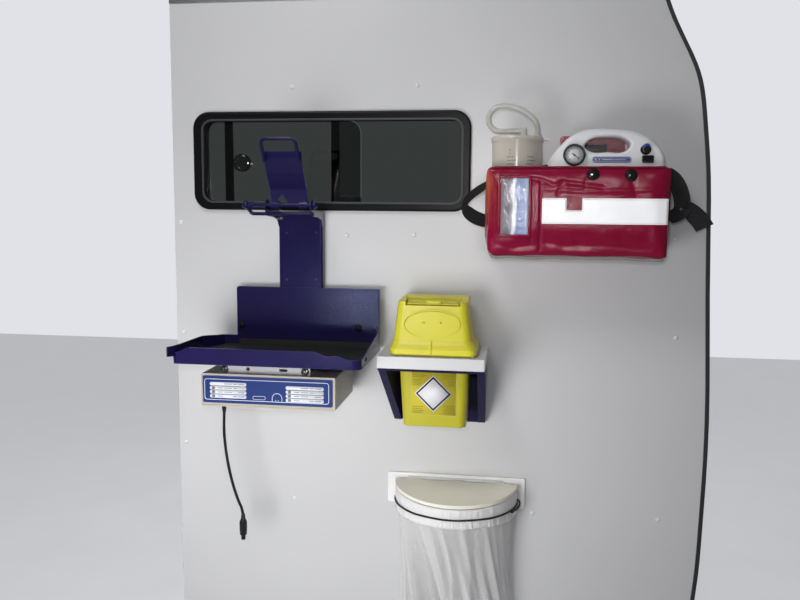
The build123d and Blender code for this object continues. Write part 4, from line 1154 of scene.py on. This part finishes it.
def between_rows(rows, pitch):
    """Rows at an even pitch through the given ones."""
    finer = []
    for a, b in zip(rows, rows[1:]):
        for share in steps(0, 1, pitch / (a[2] - b[2]))[:-1]:
            finer.append(tuple(p + (q - p) * share for p, q in zip(a, b)))
    return finer + [rows[-1]]


cuff = film("bag_cuff", [cuff_row(*row) for row in CUFF_ROWS], steps(0, 1, 1 / 260), cuff_film)
bag = film("hanging_bag", [bag_row(*row) for row in between_rows(BAG_ROWS, 7)], steps(0, 1, 1 / 240)[:-1],
           bag_film, closed=True)
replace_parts(bag, "waste_bag")
elastic_run = []
for share in steps(0, 1, 1 / 90):
    height = 714 + 1.2 * waver(share * 7, 1.7, 6.0)
    elastic_run.append(hoop_point(share, 3.2 + 0.5 * waver(share * 12, 3.3, 1.0), height))
KNOT = vec(203, 62, 712)
loose_end = smooth_path([KNOT, vec(209, 58, 715), vec(215, 52, 718), vec(220, 44, 724), vec(219, 38, 730),
                         vec(214, 36, 733)])
elastic = wires("bag_elastic", [elastic_run, loose_end], 2.2, elastic_black)
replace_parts(elastic, "bag_band")
knot = lathe([(0, 4), (2.6, 3), (3.4, 0), (2.6, -3), (0, -4)], KNOT, (0.6, -0.5, 0.3), 12)
settle("elastic_knot", knot, elastic_black)
slot_line = frame_strip(rounded(-46, 181, 763, 765.2, 0.9), rounded(-45.4, 180.4, 763.5, 764.7, 0.5),
                        5, 5.3)
settle("holder_slot_line", slot_line, patch_grey)


# Cords

def cord_curve(name, points, radius, material):
    """A cord along its route as one smooth curve."""
    data = round_curve(name, "NURBS", [points], radius, 6, material)
    data.resolution_u = 12
    spline = data.splines[0]
    spline.order_u = 3
    spline.use_endpoint_u = True
    return mount(add_object(name, data), "wall")


LEAD_OUT, LEAD_X, PLUG_X = 120, -463, -421.5
LEAD_ROUTE = [(LEAD_X, 970.5), (LEAD_X, 938), (-465.2, 884), (-459.5, 826), (-448.5, 770), (-433.5, 722),
              (PLUG_X, 698), (PLUG_X, 674)]
lead_points = [vec(x, LEAD_OUT, z) for x, z in LEAD_ROUTE]
lead = cord_curve("charging_lead", lead_points, 3.3, lead_black)
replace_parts(lead, "charger_lead")
relief = [(0, 0), (6.4, 0), (6.4, 3)]
grip = [(0, 0), (4.2, 0), (5.4, 12), (8.2, 17), (8.5, 20)]
for i in range(5):
    rib, start = 6.0 - 0.35 * i, 4.4 * i
    relief += [(rib, 4 + start), (rib, 6.6 + start), (4.9 - 0.25 * i, 7.2 + start)]
    grip += [(8.9, 22 + 4 * i), (8.9, 24 + 4 * i), (8.3, 24.6 + 4 * i)]
relief += [(3.9, 27), (0, 27)]
grip += [(8.3, 46), (0, 46)]
relief_form = lathe(relief, vec(LEAD_X, LEAD_OUT, 959.5), (0, 0, -1), 24)
grip_form = lathe(grip, vec(PLUG_X, LEAD_OUT, 690), (0, 0, -1), 24)
strain_relief = settle("lead_strain_relief", relief_form, lead_black)
plug_grip = settle("connector_grip", grip_form, lead_black)

HOSE_OUT = 84
HOSE_ROUTE = [(195.8, 1573), (172, 1573), (149, 1572), (132.5, 1588), (132.5, 1610), (149, 1625.5),
              (172, 1627), (198, 1621), (222, 1606), (238, 1588), (238, 1567)]
hose_points = [vec(x, HOSE_OUT, z) for x, z in HOSE_ROUTE]
hose = cord_curve("jar_hose", hose_points, 6.0, hose_clear)
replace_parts(hose, "suction_hose")
